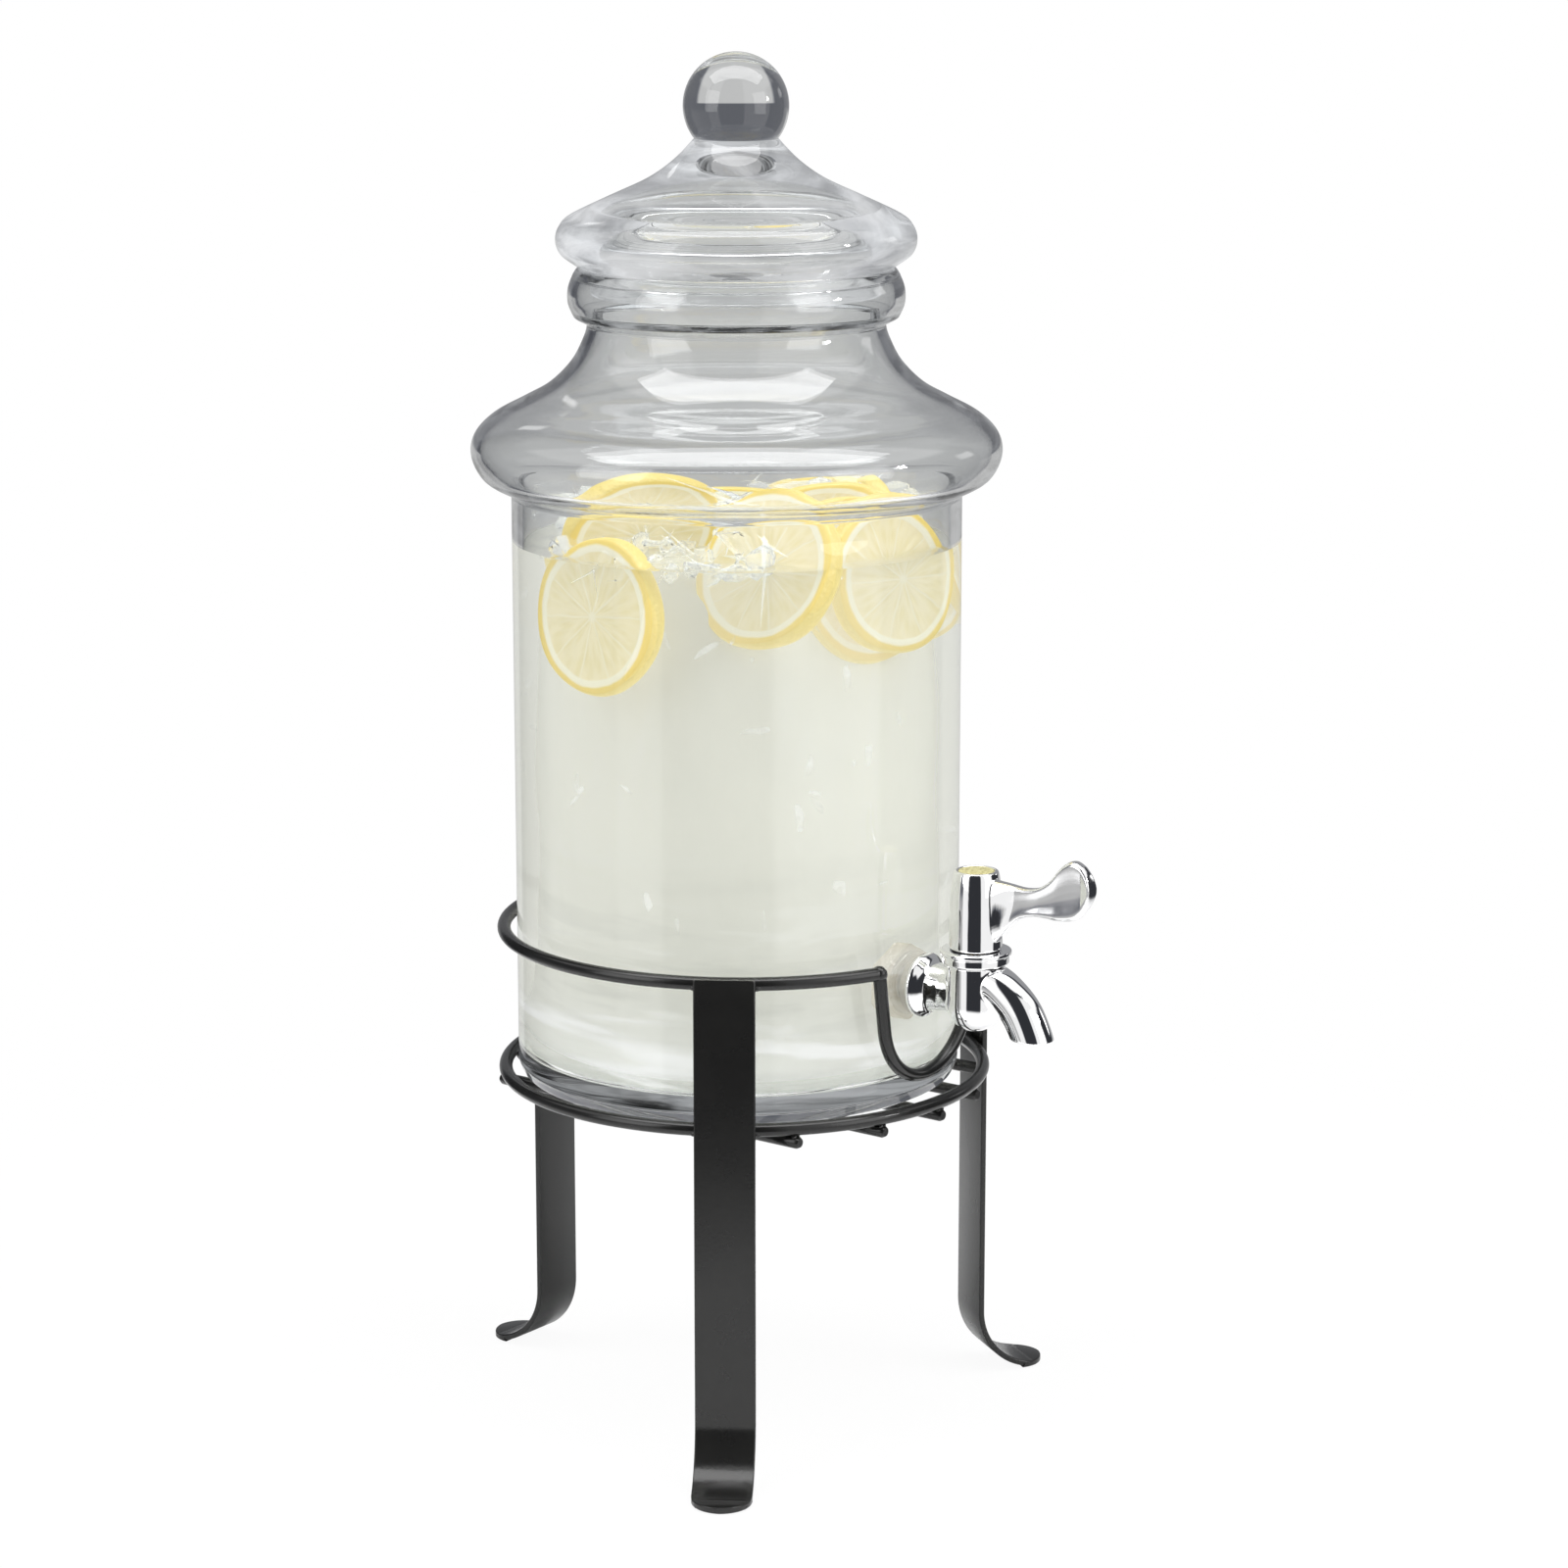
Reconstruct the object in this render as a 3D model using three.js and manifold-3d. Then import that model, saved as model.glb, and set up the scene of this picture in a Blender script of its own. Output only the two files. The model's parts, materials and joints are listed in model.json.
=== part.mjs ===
// Glass beverage dispenser: a lidded glass jar with a chrome tap, standing in a three-legged iron stand.
// Units are millimetres. +Z is up, the tap points along -Y, and X = 0 is the plane of symmetry.
// The origin is on the floor under the middle of the footprint.

import * as THREE from 'three';
import { mergeVertices } from 'three/addons/utils/BufferGeometryUtils.js';
import Module from 'manifold-3d';

const wasm = await Module();
wasm.setup();

// ---------------------------------------------------------------- driving dimensions

const GAP = 0.3; // clearance between pieces that touch

// Places in plan
const JAR_Y = 20.4; // jar axis, so that the footprint is centred on the origin
const STAND_Y = JAR_Y - 3.2; // stand axis: the jar stands a little back from it

// Stand
const WIRE_R = 2.7; // hoop and loop wire
const HOOP_R = 97.8; // centre line of both hoops
const UPPER_HOOP_Z = 202.7;
const LOWER_HOOP_Z = 144.1;
const ROD_R = 2.5; // base rods under the lower hoop
const ROD_PITCH = 32;
const ROD_COUNT = 5;
const ROD_END_R = 99.4; // rods stop on this circle, just past the hoop
const LEG_WIDTH = 24;
const LEG_THICK = 2.4;
const LEG_BEND_R = 26;
const LEG_TIP_R = 133.4; // reach of a foot from the stand's axis
const LEG_ANGLES = { leg_back: 180, leg_front_left: -57, leg_front_right: 57 }; // from the tap's direction
const LOOP_TOP_HALF = 33.6; // half width of the tap loop at the hoop
const LOOP_BEND_R = 29.4; // bend radius of its lower end
const LOOP_LEAN = 10; // degrees by which its straight arms lean inward
const LOOP_BOTTOM_Z = 154.7;
const LOOP_TOP_REACH = 95.1; // distance of the loop from the jar axis at its top
const LOOP_BOTTOM_REACH = 93.3; // and at its bottom, where it passes close to the glass

// Jar
const JAR_R = 90;
const WALL = 4;
const JAR_FLOOR = 11; // thick glass foot
const HEEL = 6; // chamfer between the floor and the inside of the wall
const JAR_BODY_TOP = 240.2; // height at which the straight wall meets the shoulder
const MOUTH_R = 58.4; // inside radius of the mouth
const MOUTH_Z = 327.6; // top of the rim above the foot
const SHOULDER = [ // outside, as (radius, height above the foot)
  [93, 240.4], [101.3, 245.1], [105.7, 253.6], [104.5, 262], [97.4, 269.4],
  [85.6, 275.7], [74.8, 281.8], [65.6, 291], [60.5, 300.8], [59.2, 305.8],
];
const NECK_BULGE = [[64.4, 308.4], [66.7, 313.8], [66.7, 319.8], [64.7, 325.2]];
const JAR_SECTIONS = { // the jar is handed on as stacked sections, each from one height to the next
  jar_base: [0, JAR_FLOOR + HEEL],
  jar_wall: [JAR_FLOOR + HEEL, 238],
  jar_shoulder: [238, 268],
  jar_neck: [268, 306],
  jar_mouth: [306, MOUTH_Z],
};
const ROD_TOP_Z = LOWER_HOOP_Z - WIRE_R - GAP;
const JAR_Z = ROD_TOP_Z + GAP; // the jar stands on the base rods

// Lid
const LID_FLANGE_R = 57.7; // flange that drops into the mouth
const LID_FLANGE_DEPTH = 11;
const KNOB_R = 20.9;
const KNOB_Z = 390.9; // knob centre above the jar's foot
const KNOB_NECK_R = 16.2; // where the cone runs into the knob

// Tap
const TAP_REACH = 117.3; // jar axis to tap spindle
const TAP_Z = 191; // shank centre line above the floor
const SHANK_R = 7.8;
const SHANK_BORE_R = 4.8;
const SHANK_ROOT_R = 8.8; // behind the flange
const FLANGE_R = 13;
const FLANGE_Y = 25; // face of the flange, from the spindle towards the jar
const THREAD_END_Y = 46.5;
const WALL_HOLE_R = 8.4;
const CHAMBER_R = 11.3;
const CHAMBER_TOP = 12.3;
const BULB_Z = -3.6; // centre of the chamber's round underside
const WELL_R = 8.8; // valve well inside the chamber
const WELL_FLOOR = -9.2;
const BARREL_R = 10.5; // handle barrel
const SPOUT_R = 8.2;
const SPOUT_BORE_R = 6;
const SPOUT_LINE = [[0, 5.5], [8.7, 5.3], [15.5, 1.6], [22.1, -4.7], [27, -14], [28.6, -20]]; // forward, up
const SPOUT_MOUTH = -14.2; // height of the spout's mouth from the shank line
const LEVER_THICK = 6.4;
const LEVER_BEVEL = 1.6;
const SOCKET_R = 4.4; // hole in the handle for the stem
const STEM_R = 4;
const OUTER_WASHER_R = 12.4;
const INNER_WASHER_R = 12.8;
const WASHER_END_Y = TAP_REACH - JAR_R + WALL + 4; // the inner washer's face for the nut
const NUT_CORNER_R = 16;
const NUT_THICK = 9;
const PLUG_R = 8.3;
const PLUG_FOOT = -8.9;
const PLUG_TOP = 9.4;
const SEAL_HEIGHTS = { seal_lower: -7, seal_upper: 7 };
const SEAL_RING_R = 7.9;
const SEAL_WIRE_R = 0.7;
const SCREW_SHANK_R = 1.9;
const SCREW_HEAD_R = 4.2;
const DISC_R = 7.1;

// Smoothness
const ROUND_LARGE = 48; // sides of the jar and lid
const ROUND_MEDIUM = 28; // sides of the tap's turned pieces
const ROUND_SMALL = 9; // sides of wires

// ---------------------------------------------------------------- materials

function standard(color, roughness, metalness) {
  return new THREE.MeshStandardMaterial({ color, roughness, metalness });
}

const glass = standard(0xdde6e8, 0.03, 0);
const blackPaint = standard(0x161616, 0.28, 0.1);
const chrome = standard(0xe6e8ea, 0.06, 1);
const steel = standard(0xb4b6b8, 0.3, 1);
const brass = standard(0xc9a24f, 0.3, 1);
const clearRubber = standard(0xe3e0d6, 0.5, 0);
const blackRubber = standard(0x1c1c1c, 0.6, 0);
const creamPlastic = standard(0xecd9bd, 0.45, 0);
const whitePlastic = standard(0xf0f0ec, 0.4, 0);
const yellowPlastic = standard(0xe6d774, 0.4, 0.2);

// ---------------------------------------------------------------- helpers

const vector2 = ([x, y]) => new THREE.Vector2(x, y);
const radians = THREE.MathUtils.degToRad;

// A smooth curve through a few outline points, cut into the given number of steps per stretch.
function smooth(points, steps) {
  const curve = new THREE.SplineCurve(points.map(vector2));
  return curve.getPoints((points.length - 1) * steps);
}

// A circular arc in an outline, from one angle to another, in degrees.
function arc(x, y, radius, from, to, steps) {
  const curve = new THREE.EllipseCurve(x, y, radius, radius, radians(from), radians(to), to < from);
  return curve.getPoints(steps);
}

// Moves each point of an outline to its left by a distance, square to the outline.
function inset(points, distance) {
  return points.map((point, i) => {
    const before = points[Math.max(i - 1, 0)];
    const after = points[Math.min(i + 1, points.length - 1)];
    const along = after.clone().sub(before).normalize();
    return new THREE.Vector2(point.x - along.y * distance, point.y + along.x * distance);
  });
}

// Turns an outline of (radius, height) points about Z.
function turned(points, sides) {
  const outline = points.map((point) => (Array.isArray(point) ? vector2(point) : point));
  return new THREE.LatheGeometry(outline, sides).rotateX(Math.PI / 2);
}

// The same with the last point joined back to the first, for a ring.
function ring(points, sides) {
  return turned([...points, points[0]], sides);
}

function disc(radius, from, to, sides = ROUND_MEDIUM) {
  return turned([[0, from], [radius, from], [radius, to], [0, to]], sides);
}

// Lays a piece made along Z along Y instead: its height becomes distance towards +Y.
const alongY = (geometry) => geometry.rotateX(-Math.PI / 2);

// A curve in space given by a formula of t from 0 to 1.
class Route extends THREE.Curve {
  constructor(pointAt) {
    super();
    this.pointAt = pointAt;
  }
  getPoint(t) {
    return this.pointAt(t);
  }
}

// A round bar along a route, with flat closed ends.
function bar(route, radius, steps, sides = ROUND_SMALL) {
  const section = new THREE.Shape(arc(0, 0, radius, 0, 360, sides).slice(0, sides));
  return new THREE.ExtrudeGeometry(section, { extrudePath: route, steps, bevelEnabled: false });
}

function toSolid(geometry) {
  const bare = geometry.clone();
  bare.deleteAttribute('normal');
  bare.deleteAttribute('uv');
  const merged = mergeVertices(bare, 1e-4);
  const vertProperties = new Float32Array(merged.attributes.position.array);
  const triVerts = new Uint32Array(merged.index.array);
  return new wasm.Manifold(new wasm.Mesh({ numProp: 3, vertProperties, triVerts }));
}

function fromSolid(solid) {
  const mesh = solid.getMesh();
  const geometry = new THREE.BufferGeometry();
  geometry.setAttribute('position', new THREE.BufferAttribute(mesh.vertProperties, 3));
  geometry.setIndex(new THREE.BufferAttribute(mesh.triVerts, 1));
  geometry.computeVertexNormals();
  return geometry;
}

function join(...geometries) {
  return fromSolid(geometries.map(toSolid).reduce((whole, next) => whole.add(next)));
}

function cut(geometry, ...tools) {
  return fromSolid(tools.map(toSolid).reduce((whole, tool) => whole.subtract(tool), toSolid(geometry)));
}

function common(geometry, tool) {
  return fromSolid(toSolid(geometry).intersect(toSolid(tool)));
}

// ---------------------------------------------------------------- assembly groups

const dispenser = new THREE.Group();

const stand = new THREE.Group();
stand.position.set(0, STAND_Y, 0);
dispenser.add(stand);

const vessel = new THREE.Group(); // jar and lid, heights from the jar's foot
vessel.position.set(0, JAR_Y, JAR_Z);
dispenser.add(vessel);

const tap = new THREE.Group(); // the spindle's axis is Z, the shank's is Y, and the spout is on -Y
tap.position.set(0, JAR_Y - TAP_REACH, TAP_Z);
dispenser.add(tap);

function addPiece(group, name, geometry, material) {
  const mesh = new THREE.Mesh(geometry, material);
  mesh.name = name;
  group.add(mesh);
  return mesh;
}

// ---------------------------------------------------------------- stand

// A point on a level circle, by its angle from the tap's direction, in radians.
function onCircle(radius, angle, z) {
  return new THREE.Vector3(radius * Math.sin(angle), -radius * Math.cos(angle), z);
}

// The upper hoop is open at the front, where its ends butt against the arms of the loop.
function upperHoop() {
  const end = Math.asin(LOOP_TOP_HALF / HOOP_R) + (WIRE_R + GAP) / HOOP_R;
  const sweep = 2 * Math.PI - 2 * end;
  const route = new Route((t) => onCircle(HOOP_R, end + sweep * t, UPPER_HOOP_Z));
  return bar(route, WIRE_R, 46);
}

function lowerHoop() {
  return new THREE.TorusGeometry(HOOP_R, WIRE_R, ROUND_SMALL, ROUND_LARGE).translate(0, 0, LOWER_HOOP_Z);
}

// The loop hangs from the hoop's ends and passes under the tap's shank. Its arms lean slightly inward.
function tapLoop() {
  const bendZ = LOOP_BOTTOM_Z + LOOP_BEND_R;
  const topZ = UPPER_HOOP_Z + WIRE_R;
  const bend = arc(0, bendZ, LOOP_BEND_R, 180 + LOOP_LEAN, 360 - LOOP_LEAN, 12);
  const left = new THREE.Vector2(-LOOP_TOP_HALF, topZ);
  const right = new THREE.Vector2(LOOP_TOP_HALF, topZ);
  const leftMiddle = left.clone().lerp(bend[0], 0.5);
  const rightMiddle = right.clone().lerp(bend[bend.length - 1], 0.5);
  const inPlane = [left, leftMiddle, ...bend, rightMiddle, right];
  const offset = JAR_Y - STAND_Y;
  const { mapLinear } = THREE.MathUtils;
  const lean = (z) => mapLinear(z, LOOP_BOTTOM_Z, topZ, LOOP_BOTTOM_REACH, LOOP_TOP_REACH);
  const points = inPlane.map((point) => new THREE.Vector3(point.x, offset - lean(point.y), point.y));
  return bar(new THREE.CatmullRomCurve3(points), WIRE_R, 30);
}

// A flat strip, straight down outside the hoops, then bent outward into a foot with a round tip.
function leg() {
  const inner = HOOP_R + WIRE_R + GAP;
  const outer = inner + LEG_THICK;
  const top = UPPER_HOOP_Z + WIRE_R;
  const bendX = inner + LEG_THICK / 2 + LEG_BEND_R;
  const bendZ = LEG_BEND_R + LEG_THICK / 2;
  const side = new THREE.Shape([
    new THREE.Vector2(inner, top),
    ...arc(bendX, bendZ, LEG_BEND_R + LEG_THICK / 2, 180, 270, 10),
    new THREE.Vector2(LEG_TIP_R, 0),
    new THREE.Vector2(LEG_TIP_R, LEG_THICK),
    ...arc(bendX, bendZ, LEG_BEND_R - LEG_THICK / 2, 270, 180, 10),
    new THREE.Vector2(outer, top),
  ]);
  const strip = new THREE.ExtrudeGeometry(side, { depth: LEG_WIDTH, bevelEnabled: false });
  strip.translate(0, 0, -LEG_WIDTH / 2).rotateX(Math.PI / 2);
  const half = LEG_WIDTH / 2;
  const plan = new THREE.Shape([
    new THREE.Vector2(inner - 1, -half - 1),
    new THREE.Vector2(LEG_TIP_R - half, -half - 1),
    ...arc(LEG_TIP_R - half, 0, half, -90, 90, 14),
    new THREE.Vector2(LEG_TIP_R - half, half + 1),
    new THREE.Vector2(inner - 1, half + 1),
  ]);
  const outline = new THREE.ExtrudeGeometry(plan, { depth: top + 2, bevelEnabled: false });
  return common(strip, outline.translate(0, 0, -1));
}

function baseRod(x) {
  const half = Math.sqrt(ROD_END_R ** 2 - x ** 2);
  return alongY(disc(ROD_R, -half, half, 12)).translate(x, 0, ROD_TOP_Z - ROD_R);
}

addPiece(stand, 'upper_hoop', upperHoop(), blackPaint);
addPiece(stand, 'tap_loop', tapLoop(), blackPaint);
addPiece(stand, 'lower_hoop', lowerHoop(), blackPaint);
for (const [name, angle] of Object.entries(LEG_ANGLES)) {
  const strip = addPiece(stand, name, leg(), blackPaint);
  strip.rotation.z = radians(angle - 90);
}
for (let i = 0; i < ROD_COUNT; i += 1) {
  const x = (i - (ROD_COUNT - 1) / 2) * ROD_PITCH;
  addPiece(stand, `base_rod_${i + 1}`, baseRod(x), blackPaint);
}

// ---------------------------------------------------------------- jar

function glassJar() {
  const straight = [new THREE.Vector2(JAR_R, JAR_FLOOR), new THREE.Vector2(JAR_R, JAR_BODY_TOP - 2)];
  const wall = (steps) => [...straight, ...smooth(SHOULDER, steps), ...smooth(NECK_BULGE, steps)];
  const outside = [[0, 0], [JAR_R - 6, 0], [JAR_R - 1.8, 1.8], [JAR_R, 6], ...wall(2).slice(1)];
  const rim = [[63.2, MOUTH_Z], [59.4, MOUTH_Z], [MOUTH_R, MOUTH_Z - 1.2], [MOUTH_R, MOUTH_Z - 6]];
  const lining = inset(wall(1), WALL).reverse().slice(2, -1);
  const lower = [[JAR_R - WALL, JAR_FLOOR + HEEL], [JAR_R - WALL - HEEL, JAR_FLOOR], [0, JAR_FLOOR]];
  const inside = [...lining, ...lower];
  const body = turned([...outside, ...rim, ...inside], ROUND_LARGE);
  const hole = alongY(disc(WALL_HOLE_R, -JAR_R - 5, -JAR_R + 3 * WALL)).translate(0, 0, TAP_Z - JAR_Z);
  return cut(body, hole);
}

// The sections are cut on level planes and keep half a gap on each side of a cut.
function jarSection(jar, from, to) {
  const foot = from === 0 ? -1 : from + GAP / 2;
  const head = to === MOUTH_Z ? to + 1 : to - GAP / 2;
  return common(jar, disc(2 * JAR_R, foot, head));
}

const jar = glassJar();
for (const [name, [from, to]] of Object.entries(JAR_SECTIONS)) {
  addPiece(vessel, name, jarSection(jar, from, to), glass);
}

// ---------------------------------------------------------------- lid

function glassLid() {
  const base = MOUTH_Z + GAP;
  const foot = base - LID_FLANGE_DEPTH;
  const inside = smooth([[0, 368.3], [9, 367], [19, 363.2], [32, 357.4], [46, 350.4], [54, 344.4]], 1);
  const flange = [[53.6, 336], [53.6, foot + 1], [54.6, foot], [56.8, foot], [LID_FLANGE_R, foot + 1.2]];
  const seat = [[LID_FLANGE_R, base], [62.4, base]];
  const cone = smooth([
    [64.6, 329.5], [69.7, 333.4], [71.5, 338.6], [70.1, 343.9], [65.4, 348.5],
    [50, 355.8], [35, 362.7], [24.6, 370], [16.6, 378.2],
  ], 2);
  const start = -Math.acos(KNOB_NECK_R / KNOB_R) * THREE.MathUtils.RAD2DEG;
  const knob = arc(0, KNOB_Z, KNOB_R, start, 90, 11);
  knob.at(-1).x = 0;
  return turned([...inside, ...flange, ...seat, ...cone, ...knob], ROUND_LARGE);
}

addPiece(vessel, 'glass_lid', glassLid(), glass);

// ---------------------------------------------------------------- tap, fixed pieces

// A route through points given as (distance forward of the spindle, height).
function spoutRoute(points) {
  return new THREE.CatmullRomCurve3(points.map(([forward, z]) => new THREE.Vector3(0, -forward, z)));
}

// One casting: valve chamber, curved spout, and the shank with its flange and threaded end.
function tapBody() {
  const bulb = arc(0, BULB_Z, CHAMBER_R, -90, 0, 6);
  bulb[0].x = 0;
  const chamber = turned([...bulb, [CHAMBER_R, CHAMBER_TOP], [0, CHAMBER_TOP]], ROUND_MEDIUM);
  const shank = alongY(turned([
    [0, 2], [SHANK_ROOT_R, 2], [SHANK_ROOT_R, 15.5], [9.6, 18.8], [11.4, 21.4],
    [FLANGE_R, FLANGE_Y - 2.2], [FLANGE_R, FLANGE_Y],
    [SHANK_R, FLANGE_Y], [SHANK_R, THREAD_END_Y], [0, THREAD_END_Y],
  ], ROUND_MEDIUM));
  const spout = bar(spoutRoute(SPOUT_LINE), SPOUT_R, 12, 18);
  const below = new THREE.BoxGeometry(40, 40, 20).translate(0, -30, SPOUT_MOUTH - 10);
  const above = new THREE.BoxGeometry(40, 40, 20).translate(0, -12, CHAMBER_TOP + 10);
  const well = disc(WELL_R, WELL_FLOOR, CHAMBER_TOP + 1, 24);
  const spoutBore = bar(spoutRoute([...SPOUT_LINE.slice(1), [29, -26]]), SPOUT_BORE_R, 11, 14);
  const inlet = alongY(disc(SHANK_BORE_R, 0, THREAD_END_Y + 1, 16));
  return cut(join(chamber, shank, spout), below, above, well, spoutBore, inlet);
}

// A sleeve around the shank, from one distance behind the spindle to another.
function sleeve(radius, from, to) {
  const hole = SHANK_R + GAP;
  return alongY(ring([[hole, from], [radius, from], [radius, to], [hole, to]], ROUND_MEDIUM));
}

// An upright round block on the jar's axis, to shape the washers to the wall.
function wallBlock(radius) {
  return disc(radius, -30, 30, ROUND_LARGE * 2).translate(0, TAP_REACH, 0);
}

function outerWasher() {
  return cut(sleeve(OUTER_WASHER_R, FLANGE_Y + GAP, FLANGE_Y + 5), wallBlock(JAR_R + GAP));
}

function innerWasher() {
  const wall = TAP_REACH - JAR_R;
  return common(sleeve(INNER_WASHER_R, wall, WASHER_END_Y), wallBlock(JAR_R - WALL - GAP));
}

function lockNut() {
  const from = WASHER_END_Y + GAP;
  const to = from + NUT_THICK;
  const hexagon = alongY(disc(NUT_CORNER_R, from, to, 6));
  const rounding = alongY(disc(NUT_CORNER_R - 0.6, from - 1, to + 1));
  const bore = alongY(disc(SHANK_R + GAP, from - 1, to + 1));
  return cut(common(hexagon, rounding), bore);
}

function bonnetCollar() {
  return ring([
    [4.6, 12.6], [12.6, 12.6], [13.2, 13.3], [13.2, 15.8], [12.8, 16.2],
    [14.1, 16.6], [14.2, 17.9], [13.7, 18.4], [4.6, 18.4],
  ], ROUND_MEDIUM);
}

addPiece(tap, 'tap_body', tapBody(), chrome);
addPiece(tap, 'outer_washer', outerWasher(), clearRubber);
addPiece(tap, 'inner_washer', innerWasher(), clearRubber);
addPiece(tap, 'lock_nut', lockNut(), creamPlastic);
addPiece(tap, 'bonnet_collar', bonnetCollar(), chrome);

// ---------------------------------------------------------------- tap, turning pieces

// The plug's cross bore lies along X when the tap is shut. A quarter turn lines it up with the shank.
function valvePlug() {
  const groove = (z) => [[PLUG_R, z - 1.3], [6.9, z - 1.3], [6.9, z + 1.3], [PLUG_R, z + 1.3]];
  const body = turned([
    [0, PLUG_FOOT], [PLUG_R, PLUG_FOOT],
    ...groove(SEAL_HEIGHTS.seal_lower), ...groove(SEAL_HEIGHTS.seal_upper),
    [PLUG_R, PLUG_TOP], [0, PLUG_TOP],
  ], ROUND_MEDIUM);
  const crossBore = disc(SHANK_BORE_R - 0.6, -12, 12, 16).rotateY(Math.PI / 2);
  return cut(body, crossBore);
}

function seal() {
  return new THREE.TorusGeometry(SEAL_RING_R, SEAL_WIRE_R, 8, ROUND_MEDIUM);
}

function valveStem() {
  const foot = PLUG_TOP + GAP;
  const flange = [[0, foot], [7.5, foot], [7.5, 12.2], [STEM_R, 12.2]];
  const tapped = [[STEM_R, 38.4], [2.3, 38.4], [2.3, 24], [0, 24]];
  return turned([...flange, ...tapped], 20);
}

// The barrel is a cup over the stem, with a web that the screw pulls down.
function barrel() {
  const skirt = [[8.2, 18.7], [BARREL_R - 0.3, 18.7], [BARREL_R, 19.4], [BARREL_R - 0.1, 30]];
  const crown = smooth([[10, 40], [9.6, 45], [9.1, 48.3], [8.5, 49.9]], 1);
  const seat = DISC_R + GAP;
  const recess = [[seat, 50], [seat, 47.9], [4.6, 47.9], [4.6, 44.9], [2.4, 44.9], [2.4, 38.8]];
  const socket = [[SOCKET_R, 38.8], [SOCKET_R, 22], [8.2, 22]];
  return ring([...skirt, ...crown, ...recess, ...socket], ROUND_MEDIUM);
}

// The lever flares from the barrel, narrows to a neck and widens into an upright paddle.
function lever() {
  const root = 7;
  const upper = [[16, 46.8], [23.5, 46.2], [30, 47.4], [35.5, 51.2], [39.7, 56.4], [45, 60]];
  const tip = [[49.8, 58.3], [52.8, 53.8], [54, 48.6], [51.8, 42.2], [47.8, 37.6]];
  const lower = [[41.4, 35.4], [35, 35.5], [26.9, 35.2], [19.6, 32.6], [15.6, 28.6], [11.5, 23.5]];
  const edge = inset([[root, 47.5], ...upper, ...tip, ...lower, [root, 21]].map(vector2), -LEVER_BEVEL);
  const outline = new THREE.Shape();
  outline.moveTo(root, 47.5 - LEVER_BEVEL);
  outline.splineThru(edge.slice(1, -1));
  outline.lineTo(root, 21 + LEVER_BEVEL);
  const plate = new THREE.ExtrudeGeometry(outline, {
    depth: LEVER_THICK - 2 * LEVER_BEVEL,
    curveSegments: 3,
    bevelThickness: LEVER_BEVEL,
    bevelSize: LEVER_BEVEL,
    bevelSegments: 2,
  });
  plate.translate(0, 0, LEVER_BEVEL - LEVER_THICK / 2);
  return plate.rotateX(Math.PI / 2).rotateZ(-Math.PI / 2);
}

function handle() {
  const socket = disc(SOCKET_R, 20, 47.9, ROUND_MEDIUM);
  return join(barrel(), cut(lever(), socket));
}

function handleScrew() {
  const shank = [[0, 30], [SCREW_SHANK_R, 30], [SCREW_SHANK_R, 45.2]];
  const head = [[SCREW_HEAD_R, 45.2], [SCREW_HEAD_R, 46.6], [SCREW_HEAD_R - 0.8, 47.5], [0, 47.5]];
  const body = turned([...shank, ...head], 20);
  const slot = new THREE.BoxGeometry(10, 1, 1.6).translate(0, 0, 47.4);
  return cut(body, slot);
}

function capDisc() {
  const edge = [[0, 48.2], [DISC_R, 48.2], [DISC_R, 49.7], [DISC_R - 0.5, 50.1]];
  return turned([...edge, [4, 50.35], [0, 50.45]], ROUND_MEDIUM);
}

addPiece(tap, 'valve_plug', valvePlug(), whitePlastic);
for (const [name, z] of Object.entries(SEAL_HEIGHTS)) {
  addPiece(tap, name, seal(), blackRubber).position.z = z;
}
addPiece(tap, 'valve_stem', valveStem(), brass);
addPiece(tap, 'tap_handle', handle(), chrome);
addPiece(tap, 'handle_screw', handleScrew(), steel);
addPiece(tap, 'cap_disc', capDisc(), yellowPlastic);

export default dispenser;
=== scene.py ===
"""Looks of the glass drinks dispenser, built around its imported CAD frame. Metres, +Z up, tap towards -Y."""

import json
import math
import random

import bmesh
import bpy
from mathutils import Matrix, Vector, noise


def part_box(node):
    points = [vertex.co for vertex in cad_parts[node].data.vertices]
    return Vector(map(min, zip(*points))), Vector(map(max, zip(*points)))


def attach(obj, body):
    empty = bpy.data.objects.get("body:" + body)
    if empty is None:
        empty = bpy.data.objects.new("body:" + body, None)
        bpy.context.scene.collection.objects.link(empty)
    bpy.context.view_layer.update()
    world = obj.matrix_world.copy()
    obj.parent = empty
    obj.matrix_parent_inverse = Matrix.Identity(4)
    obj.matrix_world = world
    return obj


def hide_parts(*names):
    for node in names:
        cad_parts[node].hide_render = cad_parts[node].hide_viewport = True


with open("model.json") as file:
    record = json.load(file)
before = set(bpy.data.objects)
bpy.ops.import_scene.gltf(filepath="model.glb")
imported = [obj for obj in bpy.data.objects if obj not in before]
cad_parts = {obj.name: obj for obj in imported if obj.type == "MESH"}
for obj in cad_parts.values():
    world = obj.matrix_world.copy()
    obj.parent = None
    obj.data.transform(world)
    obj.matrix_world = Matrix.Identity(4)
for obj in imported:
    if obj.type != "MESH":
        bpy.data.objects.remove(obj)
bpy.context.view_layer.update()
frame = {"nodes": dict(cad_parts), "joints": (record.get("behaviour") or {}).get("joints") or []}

MM = 0.001
JAR_SECTIONS = ("jar_base", "jar_wall", "jar_shoulder", "jar_neck", "jar_mouth")

# ---- places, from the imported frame


def middle(node):
    low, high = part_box(node)
    return (Vector(low) + Vector(high)) / 2


JAR_FOOT = Vector((middle("jar_base").x, middle("jar_base").y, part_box("jar_base")[0][2]))
STAND_AXIS = Vector((middle("lower_hoop").x, middle("lower_hoop").y, 0))
SPINDLE = Vector(next(j["pos_m"] for j in frame["joints"] if j["name"] == "tap_turn"))

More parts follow.
